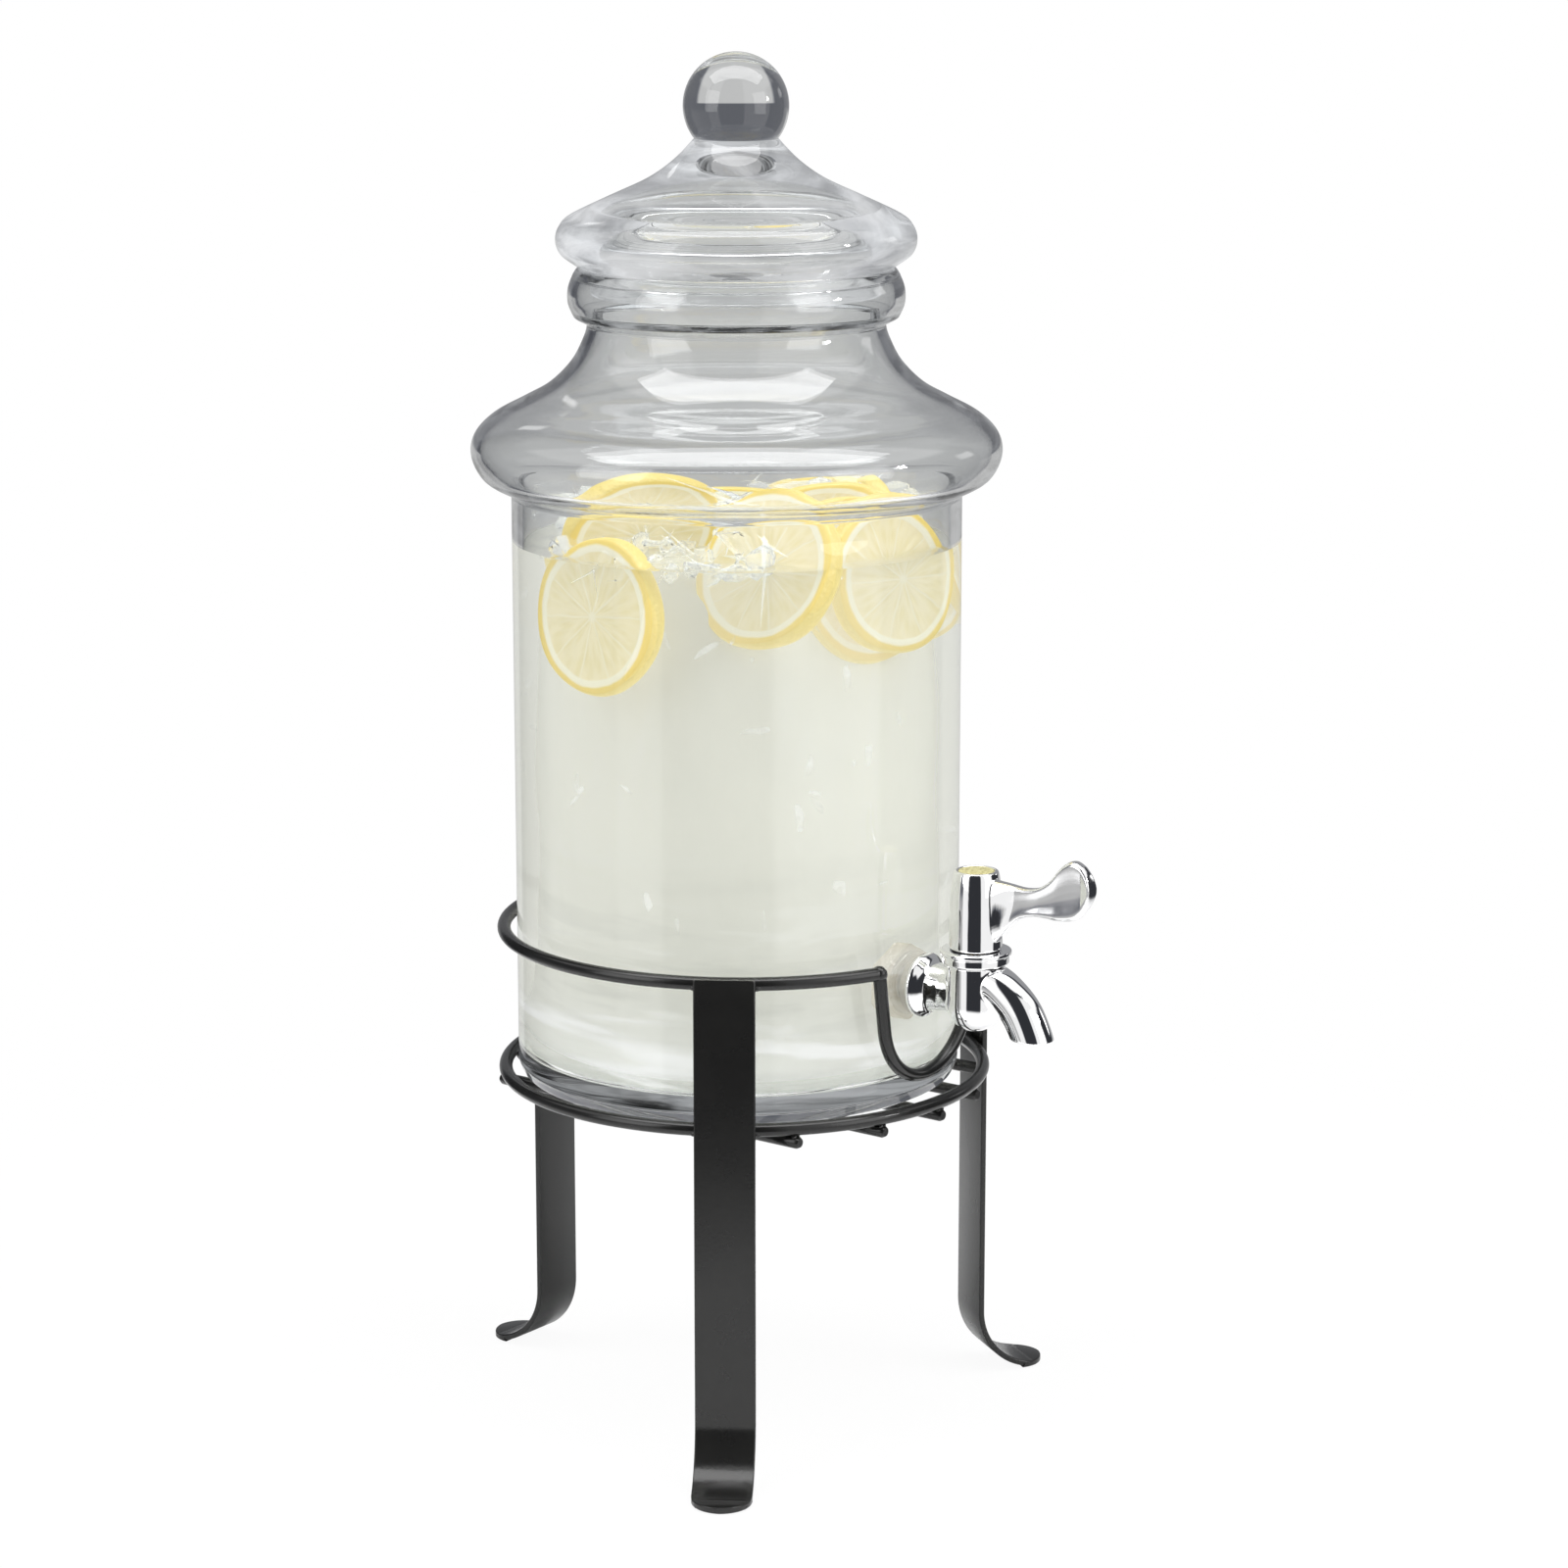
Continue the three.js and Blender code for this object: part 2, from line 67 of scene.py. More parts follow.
# Bare lengths are in millimetres. Heights are above the jar's foot for the jar and what it holds,
# above the tap's axis for the tap, and above the floor for the stand.
JAR_R = 90.0
WALL = 4.0
FLOOR_TOP = 11.0
LIQUID_TOP = 219.6
HOLE_R = 8.4  # for the tap's shank

# ---- curves


def smooth(points, steps):
    """A Catmull-Rom curve through points, with that many steps a stretch."""
    points = [Vector(p) for p in points]
    last = len(points) - 1
    made = []
    for i in range(last):
        a, b, c, d = points[max(i - 1, 0)], points[i], points[i + 1], points[min(i + 2, last)]
        for k in range(steps):
            t = k / steps
            v0, v1 = (c - a) / 2, (d - b) / 2
            made.append(
                (2 * b - 2 * c + v0 + v1) * t ** 3 + (3 * c - 3 * b - 2 * v0 - v1) * t ** 2 + v0 * t + b
            )
    return made + [points[-1]]


def arc(x, y, radius, start, end, steps):
    angles = [math.radians(start + (end - start) * k / steps) for k in range(steps + 1)]
    return [Vector((x + radius * math.cos(a), y + radius * math.sin(a))) for a in angles]


def inset(points, distance):
    made = []
    for i, p in enumerate(points):
        along = (points[min(i + 1, len(points) - 1)] - points[max(i - 1, 0)]).normalized()
        made.append(Vector((p.x - along.y * distance, p.y + along.x * distance)))
    return made


def eased(points, radius, least=18, steps=4):
    """The outline with each corner sharper than least degrees rounded off."""
    points = [Vector(p) for p in points]
    made = [points[0]]
    for before, here, after in zip(points, points[1:], points[2:]):
        a, b = before - here, after - here
        if a.length < 1e-9 or b.length < 1e-9:
            continue
        turn = 180 - math.degrees(a.angle(b))
        if turn < least:
            made.append(here)
            continue
        start = here + a.normalized() * min(radius, a.length * 0.45)
        end = here + b.normalized() * min(radius, b.length * 0.45)
        for k in range(steps + 1):
            t = k / steps
            made.append(start * (1 - t) ** 2 + here * 2 * t * (1 - t) + end * t * t)
    return made + [points[-1]]


# ---- meshes


def placed(name, data):
    """A new object in the scene."""
    made = bpy.data.objects.new(name, data)
    bpy.context.scene.collection.objects.link(made)
    return made


def painted(made, slots):
    """Gives each face of a mesh its material, by place in the mesh's list."""
    for polygon, slot in zip(made.data.polygons, slots):
        polygon.material_index = slot
    return made


def piece(name, verts, faces, materials, sharp=40.0, scale=MM):
    mesh = bpy.data.meshes.new(name)
    mesh.from_pydata([tuple(Vector(v) * scale) for v in verts], [], faces)
    mesh.validate()
    for material in materials:
        mesh.materials.append(material)
    mesh.shade_smooth()
    if sharp:
        mesh.set_sharp_from_angle(angle=math.radians(sharp))
    return placed(name, mesh)


def lathe(name, outline, sides, materials, closed=False, sharp=40.0, pick=None, turn=None):
    """An outline of (radius, height) turned about Z. pick gives the faces of each ring their material."""
    rings, verts = [], []
    for r, z in outline:
        if r < 1e-6:
            rings.append([len(verts)] * sides)
            verts.append(Vector((0, 0, z)))
            continue
        rings.append(list(range(len(verts), len(verts) + sides)))
        for k in range(sides):
            a = 2 * math.pi * k / sides
            verts.append(Vector((r * math.cos(a), r * math.sin(a), z)))
    if closed:
        rings.append(rings[0])
    faces, ring_of = [], []
    for i, (low, high) in enumerate(zip(rings, rings[1:])):
        for k in range(sides):
            n = (k + 1) % sides
            corners = [low[k], low[n], high[n], high[k]]
            face = [v for j, v in enumerate(corners) if v not in corners[:j]]
            if len(face) > 2:
                faces.append(face)
                ring_of.append(i)
    if turn:
        verts = [turn @ v for v in verts]
    made = piece(name, verts, faces, materials, sharp)
    return painted(made, map(pick, ring_of)) if pick else made


def frames(path):
    """A pair of steady cross axes at each point of a path."""
    tangents = []
    for i in range(len(path)):
        tangents.append((path[min(i + 1, len(path) - 1)] - path[max(i - 1, 0)]).normalized())
    side = tangents[0].orthogonal().normalized()
    made = []
    for tangent in tangents:
        side = (side - tangent * side.dot(tangent)).normalized()
        made.append((side, tangent.cross(side)))
    return made


def loft_data(sections, cyclic=False):
    """A closed skin over sections with the same number of points each."""
    count = len(sections[0])
    verts = [v for section in sections for v in section]
    faces = []
    total = len(sections)
    for i in range(total if cyclic else total - 1):
        low, high = i * count, ((i + 1) % total) * count
        for k in range(count):
            n = (k + 1) % count
            faces.append([low + k, low + n, high + n, high + k])
    if not cyclic:
        for base, order in ((0, -1), ((total - 1) * count, 1)):
            centre = sum((verts[base + k] for k in range(count)), Vector()) / count
            verts.append(centre)
            tip = len(verts) - 1
            for k in range(count):
                pair = [base + k, base + (k + 1) % count]
                faces.append((pair if order > 0 else pair[::-1]) + [tip])
    return verts, faces


def tube(name, path, radius, sides, materials, cyclic=False, round_ends=False):
    path = [Vector(p) for p in path]
    radii = [radius] * len(path)
    if round_ends:
        first, last = (path[0] - path[1]).normalized(), (path[-1] - path[-2]).normalized()
        steps = 6
        dome = [(radius * math.sin(math.pi / 2 * k / steps), radius * math.cos(math.pi / 2 * k / steps))
                for k in range(1, steps)] + [(radius, radius * 0.02)]
        path = [path[0] + first * d for d, _ in dome[::-1]] + path + [path[-1] + last * d for d, _ in dome]
        radii = [r for _, r in dome[::-1]] + radii + [r for _, r in dome]
    if cyclic:
        axes = []
        for i, p in enumerate(path):
            tangent = (path[(i + 1) % len(path)] - path[i - 1]).normalized()
            side = Vector((0, 0, 1)).cross(tangent).normalized()
            axes.append((side, tangent.cross(side)))
    else:
        axes = frames(path)
    sections = []
    for p, r, (u, v) in zip(path, radii, axes):
        angles = [2 * math.pi * k / sides for k in range(sides)]
        sections.append([p + u * (r * math.cos(a)) + v * (r * math.sin(a)) for a in angles])
    return piece(name, *loft_data(sections, cyclic), materials)


def baked(made, *modifiers):
    """Puts modifiers on a mesh, each as (kind, settings), and keeps their result as its mesh."""
    for kind, settings in modifiers:
        modifier = made.modifiers.new(kind, kind)
        for key, value in settings.items():
            setattr(modifier, key, value)
    result = bpy.data.meshes.new_from_object(made.evaluated_get(bpy.context.evaluated_depsgraph_get()))
    made.modifiers.clear()
    old, made.data = made.data, result
    bpy.data.meshes.remove(old)
    return made


def united(made, others, operation="UNION"):
    for other in others:
        baked(made, ("BOOLEAN", {"object": other, "operation": operation, "solver": "EXACT"}))
        bpy.data.objects.remove(other)
    return made


def cast(made, voxel, rounds):
    """Turns a sharp union into one casting with soft inner corners."""
    remesh = ("REMESH", {"mode": "VOXEL", "voxel_size": voxel * MM, "use_smooth_shade": True})
    baked(made, remesh, ("SMOOTH", {"factor": 0.5, "iterations": rounds}))
    made.data.shade_smooth()
    return made


def moved(made, place):
    """Moves the mesh itself, so that the object's own axes stay those of the row."""
    made.data.transform(Matrix.Translation(place))
    return made


def outward(made):
    """Turns every face away from the solid."""
    bm = bmesh.new()
    bm.from_mesh(made.data)
    bmesh.ops.recalc_face_normals(bm, faces=bm.faces)
    bm.to_mesh(made.data)
    bm.free()
    return made


def joined(name, parts):
    verts, faces, slots, materials = [], [], [], []
    for part in parts:
        base = len(verts)
        verts += [v.co.copy() for v in part.data.vertices]
        for polygon in part.data.polygons:
            faces.append([base + v for v in polygon.vertices])
            material = part.data.materials[polygon.material_index]
            if material not in materials:
                materials.append(material)
            slots.append(materials.index(material))
        bpy.data.objects.remove(part)
    return painted(piece(name, verts, faces, materials, scale=1), slots)


# ---- materials


class Graph:
    """The node tree that add() and the helpers after it write to."""
    tree = None


def add(kind, inputs=(), **settings):
    node = Graph.tree.nodes.new("ShaderNode" + kind)
    for key, value in settings.items():
        setattr(node, key, value)
    for key, value in dict(inputs).items():
        socket = node.inputs[key]
        if isinstance(value, bpy.types.NodeSocket):
            Graph.tree.links.new(value, socket)
        else:
            socket.default_value = (*value, 1) if socket.type == "RGBA" else value
    return node


def out(kind, inputs, **settings):
    return add(kind, inputs, **settings).outputs[0]


def blank(owner):
    """Starts the graph of a material or world."""
    owner.use_nodes = True
    Graph.tree = owner.node_tree
    Graph.tree.nodes.clear()
    return owner


def new_material(name):
    return blank(bpy.data.materials.new(name))


def calc(operation, a, b=0.0):
    return out("Math", {0: a, 1: b}, operation=operation)


def times(a, b):
    return calc("MULTIPLY", a, b)


def plus(a, b):
    return calc("ADD", a, b)


def minus(a, b):
    return calc("SUBTRACT", a, b)


def over(share, below, above):
    return out("MixShader", {0: share, 1: below, 2: above})


def glow(colour, strength=1.0):
    return out("Emission", {"Color": colour, "Strength": strength})


def see_through(colour=(1, 1, 1)):
    return out("BsdfTransparent", {"Color": colour})


def blend_colour(factor, a, b):
    return add("Mix", {"Factor": factor, 6: a, 7: b}, data_type="RGBA").outputs[2]


def spread(value, low, high, to_low=0.0, to_high=1.0):
    return out("MapRange", {
        "Value": value, "From Min": low, "From Max": high, "To Min": to_low, "To Max": to_high,
    }, interpolation_type="SMOOTHSTEP")


def place(stretch=(1, 1, 1), turn=(0, 0, 0)):
    where = add("TexCoord").outputs["Object"]
    return out("Mapping", {"Vector": where, "Scale": stretch, "Rotation": turn})


def axis(name):
    return add("SeparateXYZ", {0: place()}).outputs[name]


def cloud(scale, detail, roughness=0.5, where=None, distortion=0.0):
    inputs = {"Scale": scale, "Detail": detail, "Roughness": roughness, "Distortion": distortion}
    inputs["Vector"] = where or place()
    return add("TexNoise", inputs).outputs["Fac"]


def cells(scale, where=None):
    return add("TexVoronoi", {"Scale": scale, "Vector": where or place()}).outputs["Distance"]


def raised(height, distance, strength=1.0):
    return out("Bump", {"Height": height, "Distance": distance, "Strength": strength})


def finished(material, surface, volume=None):
    output = add("OutputMaterial", {"Surface": surface})
    if volume:
        Graph.tree.links.new(volume, output.inputs["Volume"])
    return material


def solid(material, inputs):
    return finished(material, out("BsdfPrincipled", inputs))


def plain(name, low, high, rough, metallic=0.0, grain=0.00004, veil=0.0):
    """A solid finish whose colour and roughness wander between two values, with a fine grain.

    A piece deep in the cloudy drink is veiled: that share of what is behind it shows through."""
    material = new_material(name)
    patches = cloud(50.0, 4)
    fine = cloud(1200.0, 2)
    surface = out("BsdfPrincipled", {
        "Base Color": blend_colour(patches, low, high),
        "Roughness": spread(patches, 0.3, 0.7, *rough),
        "Metallic": metallic,
        "Normal": raised(fine, grain),
    })
    if veil:
        surface = over(veil, surface, see_through())
    return finished(material, surface)


GLASS_IOR = 1.5
DRINK_IOR = 1.33


def lets_light_through(surface, tint):
    """Lamps and diffuse bounces pass straight through, so that what is inside is lit."""
    path = add("LightPath")
    passing = calc("MAXIMUM", path.outputs["Is Shadow Ray"], path.outputs["Is Diffuse Ray"])
    return over(passing, surface, see_through(tint))


def glass(name, ior, inner=(0.02, 0.4), gleam=None):
    """Clear glass. A path that stays in it for long ends in a painted glow: streaks of grey between the inner
    levels, instead of the light it would reach.

    With a gleam, its skin gets painted highlights in soft streaks, and a path that crossed only solid glass
    ends in a painted glow."""
    material = new_material(name)
    ripples = cloud(16.0, 2, where=place((1, 1, 0.55)))
    surface = out("BsdfPrincipled", {
        "Base Color": (0.965, 0.975, 0.975), "Roughness": 0.0, "IOR": ior, "Transmission Weight": 1.0,
        "Normal": raised(ripples, 0.00096, 0.35),
    })
    path = add("LightPath")
    # painted light: a path reflected more than twice, or past eight bounces, ends in a grey glow
    mirrored = calc("GREATER_THAN", path.outputs["Glossy Depth"], 2.5)
    trapped = calc("MAXIMUM", mirrored, calc("GREATER_THAN", path.outputs["Ray Depth"], 8.5))
    streaks = cloud(26.0, 4, 0.6, place((1, 1, 3.5)), 1.2)
    shine = spread(streaks, 0.38, 0.66, *inner)
    surface = over(trapped, surface, glow((0.94, 0.97, 1), shine))
    if gleam:
        # painted highlights on the outer skin, and a painted glow where a path crossed only solid glass
        inside = add("NewGeometry").outputs["Backfacing"]
        short = calc("LESS_THAN", path.outputs["Transmission Depth"], 1.5)
        crossed = times(times(inside, short), 0.8)
        swirl = cloud(13.0, 4, 0.55, place((1, 1, 2.6)), 1.6)
        skin = times(spread(swirl, 0.42, 0.66, *gleam), minus(1.0, inside))
        soft = spread(swirl, 0.34, 0.66, 0.45, 0.95)
        surface = over(crossed, surface, glow((0.95, 0.97, 1), soft))
        surface = over(skin, surface, glow((0.97, 0.98, 1), 0.95))
    return finished(material, lets_light_through(surface, (0.975, 0.98, 0.98)))


def black_coat():
    material = new_material("black_powder_coat")
    mottle = cloud(55.0, 4)
    peel = cloud(750.0, 2)
    streak = cloud(14.0, 4, where=place((1, 1, 0.25)))
    return solid(material, {
        "Base Color": blend_colour(mottle, (0.008, 0.008, 0.0078), (0.016, 0.0158, 0.015)),
        "Roughness": spread(streak, 0.3, 0.7, 0.16, 0.28),
        "Specular IOR Level": 0.36,
        "Coat Weight": 0.1,
        "Coat Roughness": 0.1,
        "Normal": raised(peel, 0.00006, 0.5),
    })


def chrome_plate(name="chrome_plate", hazy=0.0):
    """Bright plate. On the lever it can turn hazy, as worn by hands."""
    material = new_material(name)
    haze = cloud(120.0, 4)
    along = axis("Y")
    worn = spread(along, SPINDLE.y - 0.016, SPINDLE.y - 0.026, 0.0, hazy)
    wave = cloud(90.0, 2)
    return solid(material, {
        "Base Color": blend_colour(haze, (0.86, 0.86, 0.865), (0.9, 0.9, 0.905)),
        "Metallic": 1.0,
        "Roughness": plus(spread(haze, 0.3, 0.7, 0.025, 0.06), worn),
        "Normal": raised(wave, 0.00006, 0.5),
    })


DRINK = (0.885, 0.878, 0.81)
DRINK_LOW = (0.71, 0.72, 0.685)
FOG_LENGTH = 0.075


def drink_fog():
    """The haze of the drink: light dies out over FOG_LENGTH, and a painted glow in the drink's colour takes
    its place, standing in for light scattered in the drink.
    """
    lost = out("VolumeAbsorption", {"Color": (0, 0, 0), "Density": 1 / FOG_LENGTH})
    return out("AddShader", {0: lost, 1: glow(DRINK, 1 / FOG_LENGTH)})


def drink_side():
    material = new_material("drink_side")
    clear = see_through((0.99, 0.995, 0.98))
    milky = cloud(30.0, 4, where=place((1, 1, 0.4)))
    veil = out("BsdfDiffuse", {"Color": (0.9, 0.915, 0.84)})
    share = spread(milky, 0.3, 0.7, 0.03, 0.09)
    side = over(share, clear, veil)
    height = axis("Z")
    low = spread(height, JAR_FOOT.z + 0.02, JAR_FOOT.z + 0.085, 0.72, 0.0)
    # painted highlights: white glowing streaks on the drink's side towards the bottom
    streaks = cloud(9.0, 4, 0.55, place((0.9, 0.9, 7.0), (0.03, 0.02, 0)), 0.5)
    gleam = times(spread(streaks, 0.47, 0.62), low)
    side = over(gleam, side, glow((0.98, 0.99, 0.98)))
    return finished(material, side, drink_fog())


def drink_top():
    material = new_material("drink_top")
    ripples = cloud(70.0, 3, distortion=0.6)
    surface = out("BsdfPrincipled", {
        "Base Color": (0.97, 0.975, 0.94), "Roughness": 0.02, "IOR": DRINK_IOR, "Transmission Weight": 1.0,
        "Normal": raised(ripples, 0.0012, 0.6),
    })
    return finished(material, lets_light_through(surface, (0.97, 0.975, 0.95)), drink_fog())


def drink_core():
    """The cloudy heart of the drink, with faint slanting shards of ice and pulp, and painted light near the
    bottom.
    """
    material = new_material("drink_core")
    height = axis("Z")
    base = JAR_FOOT.z
    low = spread(height, base + 0.005, base + 0.12, 1.0, 0.0)
    high = minus(1.0, low)
    body = blend_colour(low, DRINK, DRINK_LOW)
    slant = place((1, 1, 0.3), (0.5, 0.7, 0))
    shards = cloud(34.0, 5, 0.6, slant, 0.8)
    pale = times(spread(shards, 0.5, 0.72), high)
    bright = blend_colour(times(pale, 0.5), body, (0.92, 0.92, 0.87))
    # painted reflections near the bottom: pale glints and dark streaks along stretched arcs
    arcs = cloud(8.0, 4, 0.55, place((0.8, 0.8, 7.0), (0.03, 0.02, 0)), 0.5)
    glints = times(spread(arcs, 0.5, 0.58), low)
    bright = blend_colour(times(glints, 0.95), bright, (0.98, 0.985, 0.97))
    dark = times(spread(arcs, 0.47, 0.36), low)
    bright = blend_colour(times(dark, 0.6), bright, (0.45, 0.46, 0.43))
    # painted light: the drink whitened towards its floor
    foot = spread(height, base + 0.05, base + 0.016, 0.0, 0.75)
    colour = blend_colour(foot, bright, (0.97, 0.98, 0.97))
    return solid(material, {
        "Base Color": colour, "Roughness": 0.85, "Specular IOR Level": 0.1,
        "Normal": raised(shards, 0.002, 0.3),
    })


# a lemon slice: radii of rind, pith and flesh
SLICE_R = 31.0
PITH_R = 27.6
FLESH_R = 25.4
SEGMENTS = 10
LEMON_GLOW = 0.55  # light scattered inside the pale drink


# Painted light: the slice's colour is darkened and the same colour glows at LEMON_GLOW, standing in for light
# scattered inside the pale drink.
def lemon(material, colour, bump):
    return solid(material, {
        "Base Color": blend_colour(0.55, colour, (0, 0, 0)), "Roughness": 0.4,
        "Emission Color": colour, "Emission Strength": LEMON_GLOW, "Normal": bump,
    })


def lemon_face():
    """A cut face, in the slice's own axes: flesh in wedges, white membranes, pith, then rind."""
    material = new_material("lemon_cut")
    axes = add("SeparateXYZ", {0: place()})
    x, y = axes.outputs["X"], axes.outputs["Y"]
    wobble = cloud(140.0, 2)
    radius = calc("SQRT", plus(times(x, x), times(y, y)))
    radius = plus(radius, times(wobble, 0.0012))
    turns = times(calc("ARCTAN2", y, x), SEGMENTS / (2 * math.pi))
    wedge = calc("FRACT", plus(turns, times(wobble, 0.22)))
    part = calc("ABSOLUTE", minus(wedge, 0.5))
    gap = times(minus(0.5, part), times(radius, 2 * math.pi / SEGMENTS))
    membrane = spread(gap, 0.0001, 0.0006, 0.8, 0.0)
    sacs = cells(1.0, out("CombineXYZ", {0: times(turns, 4.5), 1: times(radius, 130.0)}))
    juice = blend_colour(spread(sacs, 0.1, 0.8), (0.85, 0.75, 0.42), (0.9, 0.81, 0.53))
    pale = (0.92, 0.86, 0.64)
    flesh = blend_colour(membrane, juice, pale)
    star = spread(radius, 0.0016, 0.0034, 1.0, 0.0)
    flesh = blend_colour(star, flesh, pale)
    ring = spread(radius, (FLESH_R - 0.3) * MM, (FLESH_R + 0.5) * MM)
    colour = blend_colour(ring, flesh, (0.94, 0.90, 0.70))
    skin = spread(radius, PITH_R * MM, (PITH_R + 1.3) * MM)
    colour = blend_colour(skin, colour, (0.90, 0.70, 0.19))
    return lemon(material, colour, raised(sacs, 0.0004, 0.35))


def lemon_rind():
    material = new_material("lemon_rind")
    pores = cells(620.0)
    patches = cloud(90.0, 3)
    colour = blend_colour(patches, (0.88, 0.70, 0.2), (0.92, 0.76, 0.28))
    return lemon(material, colour, raised(pores, 0.0005, 0.6))


def clear_ice():
    material = new_material("crushed_ice")
    cracks = cloud(160.0, 4, 0.7, distortion=1.0)
    # painted glow: the floating ice gives off a faint light of its own
    surface = out("BsdfPrincipled", {
        "Base Color": blend_colour(cracks, (0.93, 0.95, 0.95), (0.99, 0.99, 0.99)),
        "Roughness": 0.06, "IOR": 1.3, "Transmission Weight": 0.92,
        "Emission Color": (0.95, 0.97, 0.97), "Emission Strength": 0.07,
        "Normal": raised(cracks, 0.0015, 0.6),
    })
    return finished(material, lets_light_through(surface, (0.96, 0.97, 0.97)))


def sunk_ice():
    """Shards under the drink's surface, which show only as faint pale glints: a painted glow over part of
    each, the rest see-through.
    """
    material = new_material("sunk_ice")
    cracks = cloud(140.0, 3, 0.6, distortion=0.6)
    share = spread(cracks, 0.42, 0.7, 0.05, 0.55)
    return finished(material, over(share, see_through((0.99, 0.99, 0.99)), glow((0.94, 0.95, 0.91))))


def speckled_disc():
    material = new_material("speckled_disc")
    grains = cells(900.0)
    flecks = cloud(800.0, 3, 0.7)
    colour = blend_colour(spread(flecks, 0.42, 0.62), (0.70, 0.66, 0.35), (0.44, 0.39, 0.16))
    return solid(material, {
        "Base Color": colour, "Roughness": 0.35, "Metallic": 0.15,
        "Normal": raised(grains, 0.0003, 0.6),
    })


# each glass ends caught paths in a painted grey glow; the lid's skin also gets painted highlights
clear_glass = glass("clear_glass", GLASS_IOR)
wet_glass = glass("wet_glass", GLASS_IOR / DRINK_IOR)
lid_skin = glass("lid_skin_glass", GLASS_IOR, (0.25, 1.0), gleam=(0.02, 0.42))
coat = black_coat()
chrome = chrome_plate()
worn_chrome = chrome_plate("chrome_plate_worn", 0.09)
rubber_clear = plain("silicone", (0.72, 0.69, 0.6), (0.82, 0.79, 0.71), (0.4, 0.55), veil=0.6)
rubber_sunk = plain("silicone_sunk", (0.72, 0.7, 0.62), (0.82, 0.8, 0.73), (0.5, 0.6), veil=0.9)
rubber_black = plain("seal_rubber", (0.012, 0.012, 0.012), (0.03, 0.03, 0.03), (0.5, 0.65))
nut_plastic = plain(
    "nut_plastic", (0.80, 0.72, 0.58), (0.86, 0.78, 0.65), (0.6, 0.75), grain=0.0001, veil=0.55)
valve_plastic = plain("valve_acetal", (0.84, 0.84, 0.81), (0.9, 0.9, 0.88), (0.3, 0.42))
brass = plain("turned_brass", (0.66, 0.47, 0.2), (0.76, 0.58, 0.28), (0.2, 0.35), 1.0)
steel = plain("screw_steel", (0.5, 0.5, 0.5), (0.66, 0.66, 0.66), (0.22, 0.36), 1.0)

# ---- jar

# outlines as (radius, height)
SHOULDER = [
    (93, 240.4), (101.3, 245.1), (105.7, 253.6), (104.5, 262), (97.4, 269.4),
    (85.6, 275.7), (74.8, 281.8), (65.6, 291), (60.5, 300.8), (59.2, 305.8),
]
NECK_BULGE = [(64.4, 308.4), (66.7, 313.8), (66.7, 319.8), (64.7, 325.2)]
MOUTH_Z = 327.6
MOUTH_R = 58.4


def glass_jar():
    heights = [20, 34, 42, 50, 58, 68, 90, 120, 150, 180, LIQUID_TOP, 230, 238.2]
    wall = [Vector((JAR_R, z)) for z in heights] + smooth(SHOULDER, 5) + smooth(NECK_BULGE, 5)
    foot = [(0, 1.4), (60, 1.2), (72, 0.7), (79, 0), (84.5, 0), (88.2, 1.8), (90, 6), (JAR_R, 12)]
    rim = [(63.2, MOUTH_Z), (59.4, MOUTH_Z), (MOUTH_R, MOUTH_Z - 1.2), (MOUTH_R, MOUTH_Z - 6)]
    lining = inset(wall, WALL)[::-1][1:]
    corner = [(86, 17), (85.2, 14.6), (83.2, 12.6)]
    floor = [(80, FLOOR_TOP), (50, FLOOR_TOP + 0.2), (0, FLOOR_TOP + 0.5)]
    outline = eased([*foot, *wall, *rim, *lining, *corner, *floor], 0.9)
    top = max(i for i, p in enumerate(outline) if p[1] > MOUTH_Z - 0.2)

    def wetted(ring):
        following = outline[min(ring + 1, len(outline) - 1)]
        return int(ring > top and (outline[ring][1] + following[1]) / 2 < LIQUID_TOP)

    made = lathe("jar_glass", outline, 160, [clear_glass, wet_glass], pick=wetted, sharp=50)
    moved(made, JAR_FOOT)
    drill = lathe("drill", [(0, -20), (HOLE_R, -20), (HOLE_R, 20), (0, 20)], 48, [clear_glass],
                  turn=Matrix.Rotation(math.pi / 2, 4, "X"))
    moved(drill, Vector((0, JAR_FOOT.y - (JAR_R - WALL / 2) * MM, SPINDLE.z)))
    united(made, [drill], "DIFFERENCE")
    made.data.set_sharp_from_angle(angle=math.radians(50))
    return made


def glass_lid():
    base = MOUTH_Z + 0.3
    foot = base - 11
    cone_top = 378.2
    ball_z, ball_r = 390.9, 20.9
    inside = smooth([(0, 368.3), (9, 367), (19, 363.2), (32, 357.4), (46, 350.4), (54, 344.4)], 5)
    flange = [(53.6, 336), (53.6, foot + 1), (54.6, foot), (56.8, foot), (57.7, foot + 1.2)]
    seat = [(57.7, base), (62.4, base)]
    cone = smooth([
        (64.6, 329.5), (69.7, 333.4), (71.5, 338.6), (70.1, 343.9), (65.4, 348.5),
        (50, 355.8), (35, 362.7), (24.6, 370), (16.6, cone_top),
    ], 6)
    knob = arc(0, ball_z, ball_r, -math.degrees(math.acos(16.2 / ball_r)), 90, 30)
    knob[-1].x = 0
    outline = eased([*inside, *flange, *seat, *cone, *knob], 1.0)
    low = min(range(len(outline)), key=lambda i: outline[i][1])

    def outer(ring):
        return int(ring > low and outline[ring][1] < cone_top - 1.2)

    return moved(lathe("lid_glass", outline, 160, [clear_glass, lid_skin], pick=outer, sharp=50), JAR_FOOT)


jar_glass = glass_jar()
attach(jar_glass, "jar")
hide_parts(*JAR_SECTIONS)

lid_glass = glass_lid()
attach(lid_glass, "lid")
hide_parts("glass_lid")

# ---- drink, ice and lemon

CORE_R = 60.5
INNER_R = JAR_R - WALL


def swell(x, y):
    """Height of the drink's surface above its level, in millimetres."""
    return 0.7 * math.sin(x / 7 + 1.3) * math.cos(y / 9) + 0.5 * math.sin((x + y) / 5.1)


